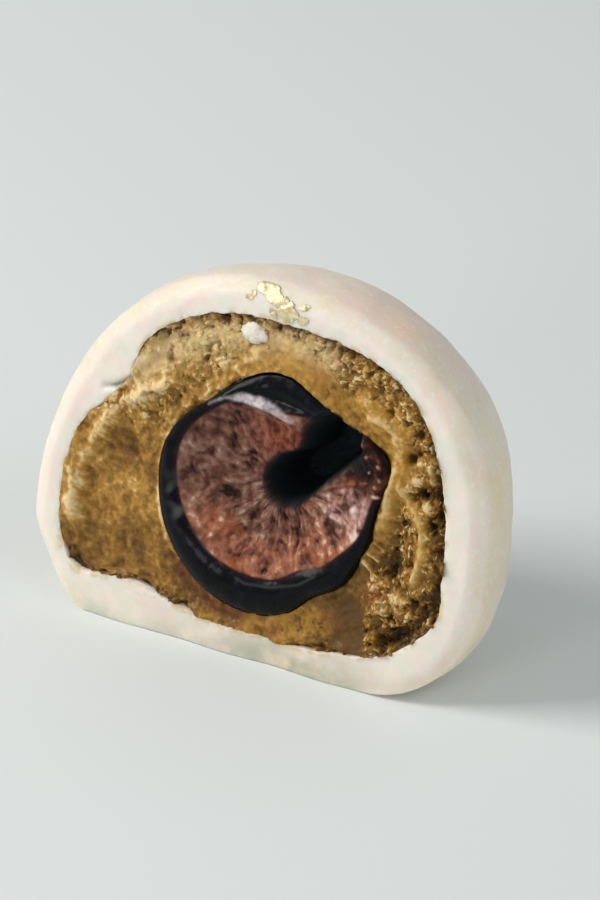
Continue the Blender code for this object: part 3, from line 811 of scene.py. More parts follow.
class Finish:
    """A material in the making: a Principled BSDF, and the colour that its layers have given so far.

    Sizes of noise and heights of relief are in millimetres. A share is a socket, a number or a mark's name.
    """

    def __init__(self, name, **constants):
        self.material = bpy.data.materials.new(name)
        self.material.use_nodes = True
        self.tree = self.material.node_tree
        self.shader = self.tree.nodes["Principled BSDF"]
        self.colour = None
        for key, value in constants.items():
            self.shader.inputs[key.replace("_", " ")].default_value = value

    def mark(self, name):
        return add_node(self.tree, "ShaderNodeAttribute", {"attribute_name": name}).outputs["Fac"]

    def noise(self, size, detail=3.0, roughness=0.55):
        """Noise whose blobs are about this size."""
        place = add_node(self.tree, "ShaderNodeTexCoord").outputs["Object"]
        constants = {"Scale": 1.0 / (size * MM), "Detail": detail, "Roughness": roughness}
        return add_node(self.tree, "ShaderNodeTexNoise", Vector=place, **constants).outputs["Fac"]

    def ramp(self, value, low, high):
        """Maps a value so that low gives 0 and high gives 1."""
        steps = {"interpolation_type": "SMOOTHSTEP"}
        return add_node(self.tree, "ShaderNodeMapRange", steps, _0=value, _1=low, _2=high).outputs[0]

    def clouds(self, size, low, high, detail=3.0, roughness=0.55):
        return self.ramp(self.noise(size, detail, roughness), low, high)

    def gradient(self, value, *stops):
        """A colour for each value from 0 to 1, through stops of value and colour."""
        node = add_node(self.tree, "ShaderNodeValToRGB", Fac=value)
        for _ in stops[2:]:
            node.color_ramp.elements.new(0.5)
        for element, (at, colour) in zip(node.color_ramp.elements, stops):
            element.position = at
            element.color = rgba(colour)
        return node.outputs["Color"]

    def blend(self, share, below, above):
        links = {"_0": share, "_6": rgba(below), "_7": rgba(above)}
        return add_node(self.tree, "ShaderNodeMix", {"data_type": "RGBA"}, **links).outputs[2]

    def lay(self, colour, *shares):
        """Lays a colour over what is there, as far as the shares multiplied say."""
        share, *others = (self.mark(share) if isinstance(share, str) else share for share in shares)
        for other in others:
            share = reckon(self.tree, "MULTIPLY", share, other)
        self.colour = self.blend(share, self.colour, colour)

    def plug(self, name, socket):
        self.tree.links.new(socket, self.shader.inputs[name])

    def rough(self, value, low, high):
        """Maps a value from 0 to 1 onto a range of roughness."""
        return add_node(self.tree, "ShaderNodeMapRange", _0=value, _3=low, _4=high).outputs[0]

    def relief(self, *layers):
        """Relief too fine for the mesh, in layers of (size, detail, roughness, height, strength)."""
        normal = {}
        for size, detail, roughness, height, strength in layers:
            links = {"Height": self.noise(size, detail, roughness), "Distance": height * MM, **normal}
            bump = add_node(self.tree, "ShaderNodeBump", Strength=strength, **links)
            normal = {"Normal": bump.outputs["Normal"]}
        self.plug("Normal", normal["Normal"])

    def done(self):
        self.plug("Base Color", self.colour)
        return self.material


def steamed_rice_dough(settings):
    """Steamed glutinous rice dough, dusted with starch: soft and translucent, matt where floury."""
    dough = Finish(
        "steamed_rice_dough",
        IOR=1.40,
        Subsurface_Weight=0.55,
        Subsurface_Radius=(1.0, 0.62, 0.42),
        Subsurface_Scale=0.0016,
        Sheen_Weight=0.08,
        Sheen_Roughness=0.5,
    )
    bare = dough.clouds(8.0, 0.35, 0.7, 2.0)
    dough.colour = dough.blend(bare, settings.floury_colour, settings.cream_colour)
    tints = (0.36, "F6DDD0"), (0.5, "EFE5D8"), (0.64, "E9E4C4")
    dough.lay(dough.gradient(dough.noise(4.5, 2.0), *tints), 0.45)
    dough.lay("EADBB4", "shade_side", dough.clouds(6.0, 0.15, 0.75))
    dough.lay(settings.blush_colour, "blush")
    dough.lay("E3D0B0", dough.clouds(3.5, 0.45, 0.7), 0.35)
    dough.lay("FAF6EF", dough.clouds(0.5, 0.50, 0.7, 4.0, 0.7), 0.5)
    cut_tints = (0.34, "E9E7DA"), (0.5, settings.cut_colour), (0.66, "F1E1D8")
    dough.lay(dough.gradient(dough.noise(2.4), *cut_tints), "cut", 0.85)
    # Painted shade on the foot, beige-tan to grey-green, with a painted reflection of the plate's green in
    # it.
    foot_shade_cloud = dough.noise(3.0)
    damp = dough.gradient(foot_shade_cloud, (0.38, "CDB890"), (0.52, "B4B098"), (0.66, "A3A68F"))
    dough.lay(damp, "damp", dough.ramp(foot_shade_cloud, 0.15, 0.6), 0.8)
    dough.lay("CDAF74", "stain", dough.clouds(1.4, 0.42, 0.60), 0.7)
    # Painted shade: dark brown laid along the crease of the tuck.
    dough.lay("6E5230", "crease", 0.85)
    matt = dough.rough(dough.clouds(1.2, 0.3, 0.7, 4.0, 0.65), 0.38, 0.62)
    links = {"_0": dough.mark("cut"), "_2": matt, "_3": 0.34}
    moist = add_node(dough.tree, "ShaderNodeMix", {"data_type": "FLOAT"}, **links)
    dough.plug("Roughness", moist.outputs[0])
    dough.relief((0.45, 4.0, 0.7, 0.06, 0.5), (2.2, 2.0, 0.55, 0.16, 0.45))
    return dough.done()


def smeared_bean_paste(settings):
    """Boiled and sweetened bean paste: moist, grainy where it tore and glossy where the knife smeared it."""
    paste = Finish(
        "smeared_bean_paste",
        IOR=1.45,
        Specular_IOR_Level=0.30,
        Subsurface_Weight=0.12,
        Subsurface_Radius=(1.0, 0.5, 0.2),
        Subsurface_Scale=0.0006,
        Coat_Weight=0.08,
        Coat_Roughness=0.18,
    )
    gritty = reckon(paste.tree, "MULTIPLY_ADD", paste.noise(0.4, 3.0, 0.6), 0.24, paste.mark("tone"))
    tone = reckon(paste.tree, "SUBTRACT", gritty, 0.12)
    stops = [(0.0, "40301A"), (0.27, settings.deep_colour), (0.5, settings.paste_colour)]
    paste.colour = paste.gradient(tone, *stops, (0.74, "B78A3C"), (1.0, settings.pale_colour))
    hue = paste.noise(1.3, 2.0)
    mottle = paste.gradient(hue, (0.36, "D3BE82"), (0.5, "E6CD95"), (0.64, "EFCBA6"))
    paste.lay(mottle, "crust", paste.ramp(tone, 0.15, 0.60), 0.62)
    paste.lay(paste.gradient(hue, (0.38, "D8BD88"), (0.5, "E8D2A8"), (0.62, "E8C6A6")), "dough", 0.62)
    paste.lay("B4842B", "golden", paste.ramp(tone, 0.2, 0.5), 0.6)
    paste.lay("B06A3A", "warm", 0.6)
    paste.lay("7A4A26", "coarse", paste.clouds(0.9, 0.60, 0.68), 0.4)
    paste.lay("5A3C10", "facet", 0.75)
    paste.lay("56260F", "juice", 0.8)
    # Painted shade: dark brown in the crevices, holes and trench.
    paste.lay("3A2C16", "pits", 0.75)
    paste.plug("Roughness", paste.rough(paste.clouds(1.3, 0.35, 0.65), 0.42, 0.66))
    paste.relief((0.22, 3.0, 0.6, 0.04, 0.4), (0.6, 4.0, 0.65, 0.10, 0.4))
    return paste.done()


def stewed_fruit(settings):
    """Fruit stewed in syrup: near-black glossy peel and translucent red-brown flesh with wet fibres."""
    fruit = Finish(
        "stewed_fruit",
        IOR=1.42,
        Specular_IOR_Level=0.10,
        Subsurface_Weight=0.15,
        Subsurface_Radius=(1.0, 0.35, 0.25),
        Subsurface_Scale=0.0006,
        Coat_Weight=0.07,
        Coat_Roughness=0.10,
    )
    fine = fruit.noise(0.5, 3.0, 0.6)
    grain = reckon(fruit.tree, "MULTIPLY_ADD", fine, 0.5, fruit.mark("fibre"))
    # The flesh is painted as a shaded copy and a lit copy: painted shade and painted light. Their pale top
    # stops, reached on the beads, are painted glints.
    flesh, lit_flesh = settings.shaded_flesh_colour, settings.lit_flesh_colour
    shade = fruit.gradient(grain, (0.40, "22110E"), (0.66, flesh), (0.88, "8C6A5A"), (1.0, "A68E82"))
    lit = fruit.gradient(grain, (0.38, "391A12"), (0.64, lit_flesh), (0.86, "AE7458"), (1.0, "DDB6A0"))
    fruit.colour = fruit.blend(fruit.mark("low"), shade, lit)
    fruit.lay(fruit.gradient(grain, (0.42, "34120E"), (0.62, "7E3827"), (0.85, "A8604A")), "red", 0.8)
    fruit.lay("A05A34", fruit.clouds(2.4, 0.52, 0.66, 2.0), "low", 0.6)
    # Paler flesh on the right, partly the flesh's own paler tone and partly a painted soft sheen.
    fruit.lay(fruit.gradient(grain, (0.42, "553530"), (0.68, "B08A80"), (0.92, "EADAD4")), "pale_flesh", 0.9)
    torn = (0.0, "170D0E"), (0.3, "4A251B"), (0.5, "8F5236"), (0.7, "8C715F"), (0.95, "C9B5A6")
    fruit.lay(fruit.gradient(fruit.mark("stripe"), *torn), "strings")
    fruit.lay("2C1414", fruit.ramp(fruit.mark("peel"), 0.0, 0.5))
    peel = fruit.blend(fruit.clouds(3.0, 0.4, 0.65, 2.0), settings.peel_colour, "0D0C16")
    fruit.lay(peel, fruit.ramp(fruit.mark("peel"), 0.4, 1.0))
    # Painted sheen: a grey-green gleam at the left of the flesh, and a painted reflection arc along the lower
    # peel.
    fruit.lay("5F6763", "sheen", 0.8)
    # Painted highlight: a pearly white crescent along the wet ledge above the hollow.
    fruit.lay(fruit.gradient(fruit.noise(0.9), (0.36, "A0949A"), (0.5, "CBC1C6"), (0.64, "E6E0DC")), "film")
    # Painted shade: the stone's hollow is laid near-black.
    fruit.lay("1D2326", "hollow")
    dull = reckon(fruit.tree, "MAXIMUM", fruit.rough(fine, 0.18, 0.40), fruit.mark("hollow"))
    fruit.plug("Roughness", dull)
    fruit.relief((0.5, 3.0, 0.6, 0.06, 0.35), (1.1, 3.0, 0.6, 0.12, 0.3))
    return fruit.done()


def beaten_gold_leaf():
    """Beaten gold leaf, thinner than paper: a crumpled mirror."""
    leaf = Finish("beaten_gold_leaf", Metallic=1.0)
    tint = leaf.clouds(0.8, 0.35, 0.65)
    leaf.colour = leaf.blend(tint, "D6C292", "E6DABA")
    leaf.plug("Roughness", leaf.rough(tint, 0.42, 0.62))
    leaf.relief((0.5, 3.0, 0.55, 0.06, 0.5))
    return leaf.done()


def matt_pale_board(settings):
    """Matt pale board: even, with hardly a shade in it."""
    board = Finish("matt_pale_board", Roughness=0.85)
    board.colour = settings.floor_colour
    board.lay("DDE3E2", board.clouds(250.0, 0.2, 0.8, 1.0), 0.05)
    return board.done()


# ---------------------------------------------------------------- settings


def length_setting(name, description, default, low, high):
    limits = {"default": default * MM, "min": low * MM, "max": high * MM}
    return FloatProperty(name=name, description=description, **limits, unit="LENGTH", precision=5)


def colour_setting(name, description, hex_colour):
    limits = {"default": linear(hex_colour), "min": 0.0, "max": 1.0}
    return FloatVectorProperty(name=name, description=description, **limits, subtype="COLOR", size=3)


def power_setting(name, description, default):
    return FloatProperty(name=name, description=description, default=default, min=0.0, unit="POWER")


class SkinSettings(bpy.types.PropertyGroup):
    lip_round: length_setting("Lip width", "How far in from the rim the cut edge rolls", 1.7, 0.3, 3.0)
    lip_drop: length_setting("Lip depth", "How far the rim is rolled back", 0.9, 0.0, 2.0)
    floury_colour: colour_setting("Floury dough", "Dough under its dusting of starch", "EFE5D8")
    cream_colour: colour_setting("Bare dough", "Dough where the starch is thin", "EBDDC8")
    cut_colour: colour_setting("Cut dough", "Dough on the cut edge", "F2E8DD")
    blush_colour: colour_setting("Blush", "Warm tone on the crown, right of the leaf", "F6D8C0")


class PasteSettings(bpy.types.PropertyGroup):
    lump: length_setting("Lumps", "Size of the larger lumps where it is coarse", 0.80, 0.4, 3.0)
    pit_depth: length_setting("Crevices", "Depth of the crevices between lumps", 0.9, 0.0, 2.0)
    pale_colour: colour_setting("Pale paste", "Paste where it is thinnest", "EAD09A")
    paste_colour: colour_setting("Paste", "Paste where it is smeared", "8C6322")
    deep_colour: colour_setting("Deep paste", "Paste where it is dense", "66450F")
    crumbs: IntProperty(
        name="Crumbs", description="Loose crumbs on each square centimetre", default=110, min=0
    )
    crumb_size: length_setting("Crumb size", "Radius of the largest loose crumb", 0.24, 0.05, 1.0)
    seed: IntProperty(name="Seed", description="Picks where the crumbs lie", default=7, min=0)


class FruitSettings(bpy.types.PropertyGroup):
    peel_colour: colour_setting("Peel", "Stewed peel", "080A0B")
    # Painted shade and light: a shaded copy of the flesh for the upper side and a lit copy for the lower
    # side.
    shaded_flesh_colour: colour_setting("Flesh", "Flesh of the upper side", "6A4335")
    lit_flesh_colour: colour_setting("Lower flesh", "Flesh of the lower side", "84503C")


class StageSettings(bpy.types.PropertyGroup):
    floor_colour: colour_setting("Floor", "The floor's colour", "E6EBEA")
    key_power: power_setting("Key light", "Power of the key light", 2.4)
    fill_power: power_setting("Fill light", "Power of the fill", 1.05)
    window_power: power_setting("Window", "Power of the small light that gives wet glints", 0.35)
    sky: FloatProperty(name="Sky", description="Strength of the light from all round", default=0.35, min=0.0)


# ---------------------------------------------------------------- pieces


class DAIFUKU_OT_rice_skin(bpy.types.Operator):
    """Make the rice skin with its rolled lip and flat base"""

    bl_idname = "daifuku.rice_skin"
    bl_label = "Rice skin"

    def execute(self, context):
        settings = context.scene.daifuku_skin
        lip_round, lip_drop = settings.lip_round / MM, settings.lip_drop / MM
        angles = round_turn(SKIN_POINTS)
        rim, room = face_radius(BALL, angles), room_edge(angles)
        room_wall = ROOM.shell(angles, ROOM_TILTS)
        roll = 1.0 - np.cos(np.linspace(0.0, math.pi / 2.0, LIP_RINGS))[1:, None]
        band_inset = between(rim - room, lip_round, np.linspace(0.0, 1.0, BAND_RINGS)[:, None])
        lip_inset = np.broadcast_to(lip_round * (1.0 - np.sqrt(roll)), (len(roll), SKIN_POINTS))
        inset = np.concatenate([band_inset, lip_inset])
        at = FACE_MIDDLE + (rim - inset)[..., None] * unit(angles)
        band = on_face(at, skin_depth(at, inset, lip_round, lip_drop))
        outside = BALL.shell(angles, BALL_TILTS)
        for surface in (band, outside):
            surface[..., 2] = np.maximum(surface[..., 2], 0.0)
            surface[..., 1] = np.minimum(surface[..., 1], CAD_BOX[1][1] / MM + BOX_MIDDLE[1])
        poles = [dome.shell(angles[:1], [90.0])[0, 0] for dome in (ROOM, BALL)]
        piece = closed_rings("rice_skin", np.concatenate([room_wall, band, outside]), *poles)
        self.paint(piece, len(room_wall), at, inset, rim - room - inset, outside)
        add_piece(piece, steamed_rice_dough(settings), "rice_skin", "mochi_skin")
        return {"FINISHED"}

    def paint(self, piece, rings_before, at, inset, from_paste, outside):
        """Marks the cut edge, its stains, the painted shade at its foot, the blush on the crown and the
        painted shade of the far side.
        """
        across, along = np.moveaxis(at, -1, 0)
        x, y, z = np.moveaxis(outside, -1, 0)
        crown = rising(z, 25.0, 6.0) * near(x, 9.0, 8.0) * rising(y, 4.0, 4.0)
        pink = bell(np.linalg.norm(outside - BLUSH_SPOT, axis=-1), 2.6)
        tan = bell(np.linalg.norm((outside - TAN_SPOT) * (1.0, 1.0, 0.4), axis=-1), 2.2)
        shade = 0.75 * rising(x, 7.0, 12.0) * rising(z, 30.0, -14.0)
        lower_left = rising(along, 9.0, -4.0) * rising(across, -9.0, -4.0)
        on_cut = {
            "cut": rising(inset, 0.35, 1.1),
            "stain": bell(from_paste, between(0.35, 0.80, lower_left)),
            # The crease is painted dark as painted shade.
            "crease": line_at(at, TUCK_CREASE, 0.20) * rising(across, -17.6, 1.6),
            # Painted shade at the foot of the cut edge.
            "damp": self.damp(across, along),
        }
        on_outside = {
            # Painted shade at the foot of the outside.
            "damp": self.damp(x, z) * bell(y, 4.0),
            "blush": np.maximum(0.5 * crown, pink),
            "shade_side": np.maximum(shade, tan),
        }
        blank_cut, blank_outside = np.zeros(inset.shape), np.zeros(outside.shape[:2])
        marks = {
            name: np.concatenate([on_cut.get(name, blank_cut), on_outside.get(name, blank_outside)])
            for name in {**on_cut, **on_outside}
        }
        write_marks(piece, rings_before, marks)

    def damp(self, across, height):
        """How much painted shade lies on the foot where it touches the plate, greenish as a painted
        reflection of the plate, most of all right of the middle.
        """
        low = rising(height, 4.0, -3.5) * (0.25 + 0.75 * near(across, 4.0, 8.0))
        return np.maximum(low, 0.5 * bell(height, 1.6))


class DAIFUKU_OT_bean_paste(bpy.types.Operator):
    """Make the bean paste, smeared on the left and coarse along the top and the right"""

    bl_idname = "daifuku.bean_paste"
    bl_label = "Bean paste"

    def execute(self, context):
        settings = context.scene.daifuku_paste
        angles = round_turn(PASTE_POINTS)
        back_wall = PASTE.shell(angles, PASTE_TILTS)
        # The paste lies against the skin, but shrank from it a little at the upper left.
        shrunk = 0.13 * near_turn(angles, 118, 34)
        shrunk *= smooth_step(0.6 + 1.2 * face_noise(20.0 * unit(angles), 0.35, 1.0))
        outer_edge = FACE_MIDDLE + (room_edge(angles) + PASTE_OVER_SKIN - shrunk)[:, None] * unit(angles)
        inner_edge = FRUIT_MIDDLE + (fruit_radius(angles) - PASTE_OVER_FRUIT)[:, None] * unit(angles)
        shares = np.linspace(0.0, 1.0, PASTE_RINGS)[:, None, None]
        at = between(outer_edge, inner_edge, shares)
        inset = shares[..., 0] * np.linalg.norm(outer_edge - inner_edge, axis=-1)
        zones = paste_zones(at, inset)
        depth, tone, pits = paste_depth(at, inset, zones, settings.lump / MM, settings.pit_depth / MM)
        pocket = self.pocket(angles)
        poles = PASTE.shell(angles[:1], [90.0])[0, 0], on_face(FRUIT_MIDDLE, FRUIT_DEPTH + POCKET_GAP)
        rings = np.concatenate([back_wall, on_face(at, depth), pocket])
        piece = closed_rings("bean_paste_filling", rings, *poles)
        marks = {key: zones[key] for key in ("coarse", "crust", "dough", "juice", "golden", "facet", "warm")}
        write_marks(piece, len(back_wall), {**marks, "tone": tone, "pits": pits}, len(pocket))
        add_piece(piece, smeared_bean_paste(settings), "bean_paste", "bean_paste")
        return {"FINISHED"}

    def pocket(self, angles):
        """The room for the fruit, a half ball behind the face, a gap larger than the fruit."""
        tilts = np.radians(POCKET_TILTS)[:, None]
        radius = (fruit_radius(angles) + POCKET_GAP) * np.cos(tilts)
        depth = (FRUIT_DEPTH + POCKET_GAP) * np.sin(tilts)
        return on_face(FRUIT_MIDDLE + radius[..., None] * unit(angles), depth)


class DAIFUKU_OT_stoned_fruit(bpy.types.Operator):
    """Make the stewed fruit with the hollow that its stone left"""

    bl_idname = "daifuku.stoned_fruit"
    bl_label = "Stoned fruit"

    def execute(self, context):
        angles = round_turn(FRUIT_POINTS)
        outline = fruit_radius(angles)[:, None] * unit(angles)
        tilts = np.radians(FRUIT_TILTS)[:, None]
        back_wall = on_face(FRUIT_MIDDLE + np.cos(tilts)[..., None] * outline, FRUIT_DEPTH * np.sin(tilts))
        at = FRUIT_MIDDLE + np.linspace(1.0, LAST_RING_SHARE, FRUIT_RINGS)[:, None, None] * outline
        depth, marks = fruit_face(at)
        face = on_face(at, depth)
        poles = on_face(FRUIT_MIDDLE, FRUIT_DEPTH), face[-1].mean(0)
        piece = closed_rings("stewed_stoned_fruit", np.concatenate([back_wall, face]), *poles)
        write_marks(piece, len(back_wall), marks)
        add_piece(piece, stewed_fruit(context.scene.daifuku_fruit), "stewed_fruit", "stoned_fruit")
        return {"FINISHED"}


def crumb_tree(material):
    """Geometry Nodes: crumbs of paste scattered where the surface is coarse, turned and sized at random."""
    tree = bpy.data.node_groups.new("scatter_crumbs", "GeometryNodeTree")
    for name, kind, direction in (
        ("Geometry", "NodeSocketGeometry", "INPUT"),
        ("Crumbs per square metre", "NodeSocketFloat", "INPUT"),
        ("Largest radius", "NodeSocketFloat", "INPUT"),
        ("Seed", "NodeSocketInt", "INPUT"),
        ("Geometry", "NodeSocketGeometry", "OUTPUT"),
    ):
        tree.interface.new_socket(name, in_out=direction, socket_type=kind)
    given = add_node(tree, "NodeGroupInput").outputs
    coarse = add_node(tree, "GeometryNodeInputNamedAttribute", {"data_type": "FLOAT"}, Name="coarse")
    density = reckon(tree, "MULTIPLY", coarse.outputs[0], given["Crumbs per square metre"])
    over = {"Mesh": given["Geometry"], "Density": density, "Seed": given["Seed"]}
    spread = add_node(tree, "GeometryNodeDistributePointsOnFaces", **over)
    ball = add_node(tree, "GeometryNodeMeshIcoSphere", Radius=1.0, Subdivisions=2).outputs["Mesh"]
    lumps = add_node(tree, "ShaderNodeTexNoise", Scale=1.9, Detail=1.0).outputs["Color"]
    centred = add_node(tree, "ShaderNodeVectorMath", {"operation": "SUBTRACT"}, _0=lumps, _1=(0.5, 0.5, 0.5))
    scaled = add_node(tree, "ShaderNodeVectorMath", {"operation": "SCALE"}, _0=centred.outputs[0], Scale=1.5)
    crumb = add_node(tree, "GeometryNodeSetPosition", Geometry=ball, Offset=scaled.outputs[0]).outputs[0]
    turns = {"_1": (6.28, 6.28, 6.28), "Seed": 3}
    turn = add_node(tree, "FunctionNodeRandomValue", {"data_type": "FLOAT_VECTOR"}, **turns)
    size = add_node(tree, "FunctionNodeRandomValue", {"data_type": "FLOAT"}, _2=0.3, _3=1.0, Seed=5)
    sized = reckon(tree, "MULTIPLY", size.outputs[1], given["Largest radius"])
    each = {"Points": spread.outputs["Points"], "Instance": crumb, "Rotation": turn.outputs[0]}
    placed = add_node(tree, "GeometryNodeInstanceOnPoints", Scale=sized, **each)
    real = add_node(tree, "GeometryNodeRealizeInstances", Geometry=placed.outputs[0]).outputs[0]
    smooth = add_node(tree, "GeometryNodeSetShadeSmooth", Geometry=real).outputs[0]
    dressed = add_node(tree, "GeometryNodeSetMaterial", Geometry=smooth, Material=material).outputs[0]
    add_node(tree, "NodeGroupOutput", Geometry=dressed)
    return tree


class DAIFUKU_OT_paste_crumbs(bpy.types.Operator):
    """Scatter loose crumbs over the coarse paste"""

    bl_idname = "daifuku.paste_crumbs"
    bl_label = "Paste crumbs"

    def execute(self, context):
        settings = context.scene.daifuku_paste
        filling = bpy.data.objects.get("bean_paste_filling")
        if filling is None:
            raise RuntimeError("The bean paste comes first")
        piece = add_object("paste_crumbs", filling.data.copy())
        tree = crumb_tree(filling.data.materials[0])
        scatter = piece.modifiers.new("scatter", "NODES")
        values = {
            "Crumbs per square metre": 1e4 * settings.crumbs,
            "Largest radius": settings.crumb_size,
            "Seed": settings.seed,
        }
        scatter.node_group = tree
        for item in tree.interface.items_tree:
            if item.in_out == "INPUT" and item.name in values:
                scatter[item.identifier] = values[item.name]
        context.view_layer.update()
        made = bpy.data.meshes.new_from_object(piece.evaluated_get(context.evaluated_depsgraph_get()))
        piece.modifiers.clear()
        piece.data = made
        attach(piece, "root")
        return {"FINISHED"}


class DAIFUKU_OT_dough_scrap(bpy.types.Operator):
    """Lay the scrap of rice dough on the paste, under the leaf"""

    bl_idname = "daifuku.dough_scrap"
    bl_label = "Dough scrap"

    def execute(self, context):
        angle, tilt = np.meshgrid(round_turn(64), np.radians(np.linspace(-80.0, 80.0, 24)))
        ball = drum(angle, np.cos(tilt), np.sin(tilt))
        swell = 1.0 + 0.30 * noise_at(ball, 1.3, 4.0) + 0.16 * noise_at(ball, 3.6, 6.0)
        lump = swell[..., None] * ball
        rings = on_face(SCRAP_MIDDLE + SCRAP_HALF * lump[..., :2], SCRAP_DEPTH - SCRAP_THICK * lump[..., 2])
        poles = [on_face(SCRAP_MIDDLE, SCRAP_DEPTH + side * SCRAP_THICK) for side in (1.0, -1.0)]
        piece = closed_rings("scrap_of_dough", rings, *poles)
        add_piece(piece, bpy.data.objects["rice_skin"].data.materials[0], "rice_skin")
        return {"FINISHED"}


class DAIFUKU_OT_gold_leaf(bpy.types.Operator):
    """Lay the torn flakes of gold leaf on the skin's lip and its crown"""

    bl_idname = "daifuku.gold_leaf"
    bl_label = "Gold leaf"

    def execute(self, context):
        skin = context.scene.daifuku_skin
        form = bmesh.new()
        for across, along, length, width, turn, seed in FLAKES:
            self.flake(form, (across, along), (length, width), turn, seed, skin)
        bmesh.ops.recalc_face_normals(form, faces=form.faces)
        mesh = bpy.data.meshes.new("gold_leaf_flakes")
        form.to_mesh(mesh)
        form.free()
        mesh.shade_smooth()
        add_piece(add_object("gold_leaf_flakes", mesh), beaten_gold_leaf(), "gold_leaf")
        return {"FINISHED"}

    def flake(self, form, middle, size, turn, seed, skin):
        """A torn, crumpled flake that follows the lip, as thin as a mesh may be."""
        steps = np.linspace(-1.0, 1.0, FLAKE_POINTS)
        x, y = np.meshgrid(steps, steps)
        rim = unit(np.arctan2(y, x))
        torn = 0.5 + 0.22 * face_noise(rim, 1.9, seed) + 0.10 * face_noise(rim, 6.0, seed)
        torn *= np.maximum(np.abs(x), np.abs(y)) / np.maximum(np.hypot(x, y), TINY)
        run, side = size[0] * x * torn, size[1] * y * torn
        across = run * math.cos(turn) - side * math.sin(turn)
        at = moved(np.asarray(middle), across, run * math.sin(turn) + side * math.cos(turn))
        right, up = np.moveaxis(at - FACE_MIDDLE, -1, 0)
        inset = face_radius(BALL, np.arctan2(up, right)) - np.hypot(right, up)
        over = np.maximum(0.0, -inset)
        depth = skin_depth(at, inset, skin.lip_round / MM, skin.lip_drop / MM) + 1.4 * over
        crumple = 0.08 * face_noise(at, 1.5, seed / MM) + 0.04 * face_noise(at, 4.2)
        outer = on_face(at, depth - FLAKE_LIFT - crumple) - 0.7 * over[..., None] * UP_FACE
        self.sheet(form, outer, outer - LEAF_THICK * OUT_OF_FACE)

    def sheet(self, form, outer, inner):
        """Adds a closed thin sheet between two grids of points."""
        rows, columns = outer.shape[:2]
        made = []
        for grid in ((outer - BOX_MIDDLE) * MM, (inner - BOX_MIDDLE) * MM):
            made.append([[form.verts.new(point) for point in row] for row in grid])
        for i in range(rows - 1):
            for j in range(columns - 1):
                for grid in made:
                    form.faces.new((grid[i][j], grid[i][j + 1], grid[i + 1][j + 1], grid[i + 1][j]))
        edge = [(0, j) for j in range(columns)] + [(i, columns - 1) for i in range(1, rows)]
        edge += [(rows - 1, j) for j in range(columns - 2, -1, -1)] + [(i, 0) for i in range(rows - 2, 0, -1)]
        for (i, j), (k, m) in zip(edge, edge[1:] + edge[:1]):
            form.faces.new((made[0][i][j], made[0][k][m], made[1][k][m], made[1][i][j]))


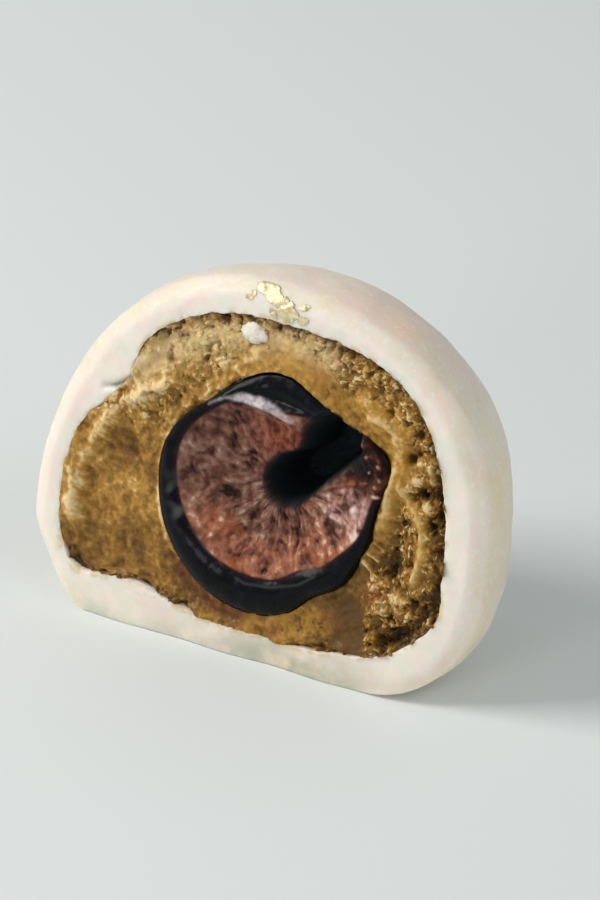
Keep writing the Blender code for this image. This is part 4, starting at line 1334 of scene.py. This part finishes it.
class DAIFUKU_OT_stage(bpy.types.Operator):
    """Set the floor, the lights and the camera"""

    bl_idname = "daifuku.stage"
    bl_label = "Stage"

    def execute(self, context):
        settings = context.scene.daifuku_stage
        mesh = bpy.data.meshes.new("floor")
        corners = [(x * FLOOR_HALF, y * FLOOR_HALF, 0.0) for x, y in ((-1, -1), (1, -1), (1, 1), (-1, 1))]
        mesh.from_pydata(corners, [], [(0, 1, 2, 3)])
        mesh.materials.append(matt_pale_board(settings))
        floor = add_object("floor", mesh)
        middle, up = Vector((0.0, 0.0, VIEW_HEIGHT)), Vector((0.0, 0.0, 1.0))
        left = Vector((-math.cos(VIEW_AZIMUTH), -math.sin(VIEW_AZIMUTH), 0.0))
        behind = Vector((-math.sin(VIEW_AZIMUTH), math.cos(VIEW_AZIMUTH), 0.0))
        flat, high = math.cos(VIEW_ELEVATION), math.sin(VIEW_ELEVATION)
        away = Vector((flat * math.sin(VIEW_AZIMUTH), -flat * math.cos(VIEW_AZIMUTH), high))
        lens = bpy.data.cameras.new("camera")
        lens.sensor_width = SENSOR_MM
        lens.lens = LENS_MM
        lens.clip_start = 0.01
        context.scene.camera = self.place("camera", lens, middle + VIEW_DISTANCE * away, middle)
        for name, size, colour, (to_left, further, higher) in LIGHTS:
            lamp = bpy.data.lights.new(name, "AREA")
            lamp.energy = getattr(settings, name + "_power")
            lamp.size = size
            lamp.color = colour
            self.place(name, lamp, middle + to_left * left + further * behind + higher * up, middle)
        world = bpy.data.worlds.new("studio")
        world.use_nodes = True
        sky = world.node_tree.nodes["Background"]
        sky.inputs["Color"].default_value = SKY_COLOUR
        sky.inputs["Strength"].default_value = settings.sky
        context.scene.world = world
        context.scene.view_settings.view_transform = "Standard"
        return {"FINISHED"}

    def place(self, name, data, spot, target):
        """Puts a lamp or a camera at a spot, turned to the target."""
        placed = add_object(name, data)
        placed.location = spot
        placed.rotation_euler = (target - spot).to_track_quat("-Z", "Y").to_euler()
        return placed


class DAIFUKU_PT_panel(bpy.types.Panel):
    bl_idname = "DAIFUKU_PT_panel"
    bl_label = "Daifuku half"
    bl_space_type = "VIEW_3D"
    bl_region_type = "UI"
    bl_category = "Daifuku"

    def draw(self, context):
        for operator in OPERATORS:
            self.layout.operator(operator.bl_idname)
        for group in SETTINGS:
            box = self.layout.box()
            for name in SETTINGS[group].__annotations__:
                box.prop(getattr(context.scene, group), name)


OPERATORS = (
    DAIFUKU_OT_rice_skin,
    DAIFUKU_OT_bean_paste,
    DAIFUKU_OT_paste_crumbs,
    DAIFUKU_OT_stoned_fruit,
    DAIFUKU_OT_dough_scrap,
    DAIFUKU_OT_gold_leaf,
    DAIFUKU_OT_stage,
)
SETTINGS = {
    "daifuku_skin": SkinSettings,
    "daifuku_paste": PasteSettings,
    "daifuku_fruit": FruitSettings,
    "daifuku_stage": StageSettings,
}


def register():
    for group in (*SETTINGS.values(), *OPERATORS, DAIFUKU_PT_panel):
        bpy.utils.register_class(group)
    for name, group in SETTINGS.items():
        setattr(bpy.types.Scene, name, PointerProperty(type=group))


def unregister():
    for name in SETTINGS:
        delattr(bpy.types.Scene, name)
    for group in reversed((*SETTINGS.values(), *OPERATORS, DAIFUKU_PT_panel)):
        bpy.utils.unregister_class(group)


def main():
    register()
    bpy.ops.daifuku.rice_skin()
    bpy.ops.daifuku.bean_paste()
    bpy.ops.daifuku.paste_crumbs()
    bpy.ops.daifuku.stoned_fruit()
    bpy.ops.daifuku.dough_scrap()
    bpy.ops.daifuku.gold_leaf()
    bpy.ops.daifuku.stage()


if __name__ == "__main__":
    main()
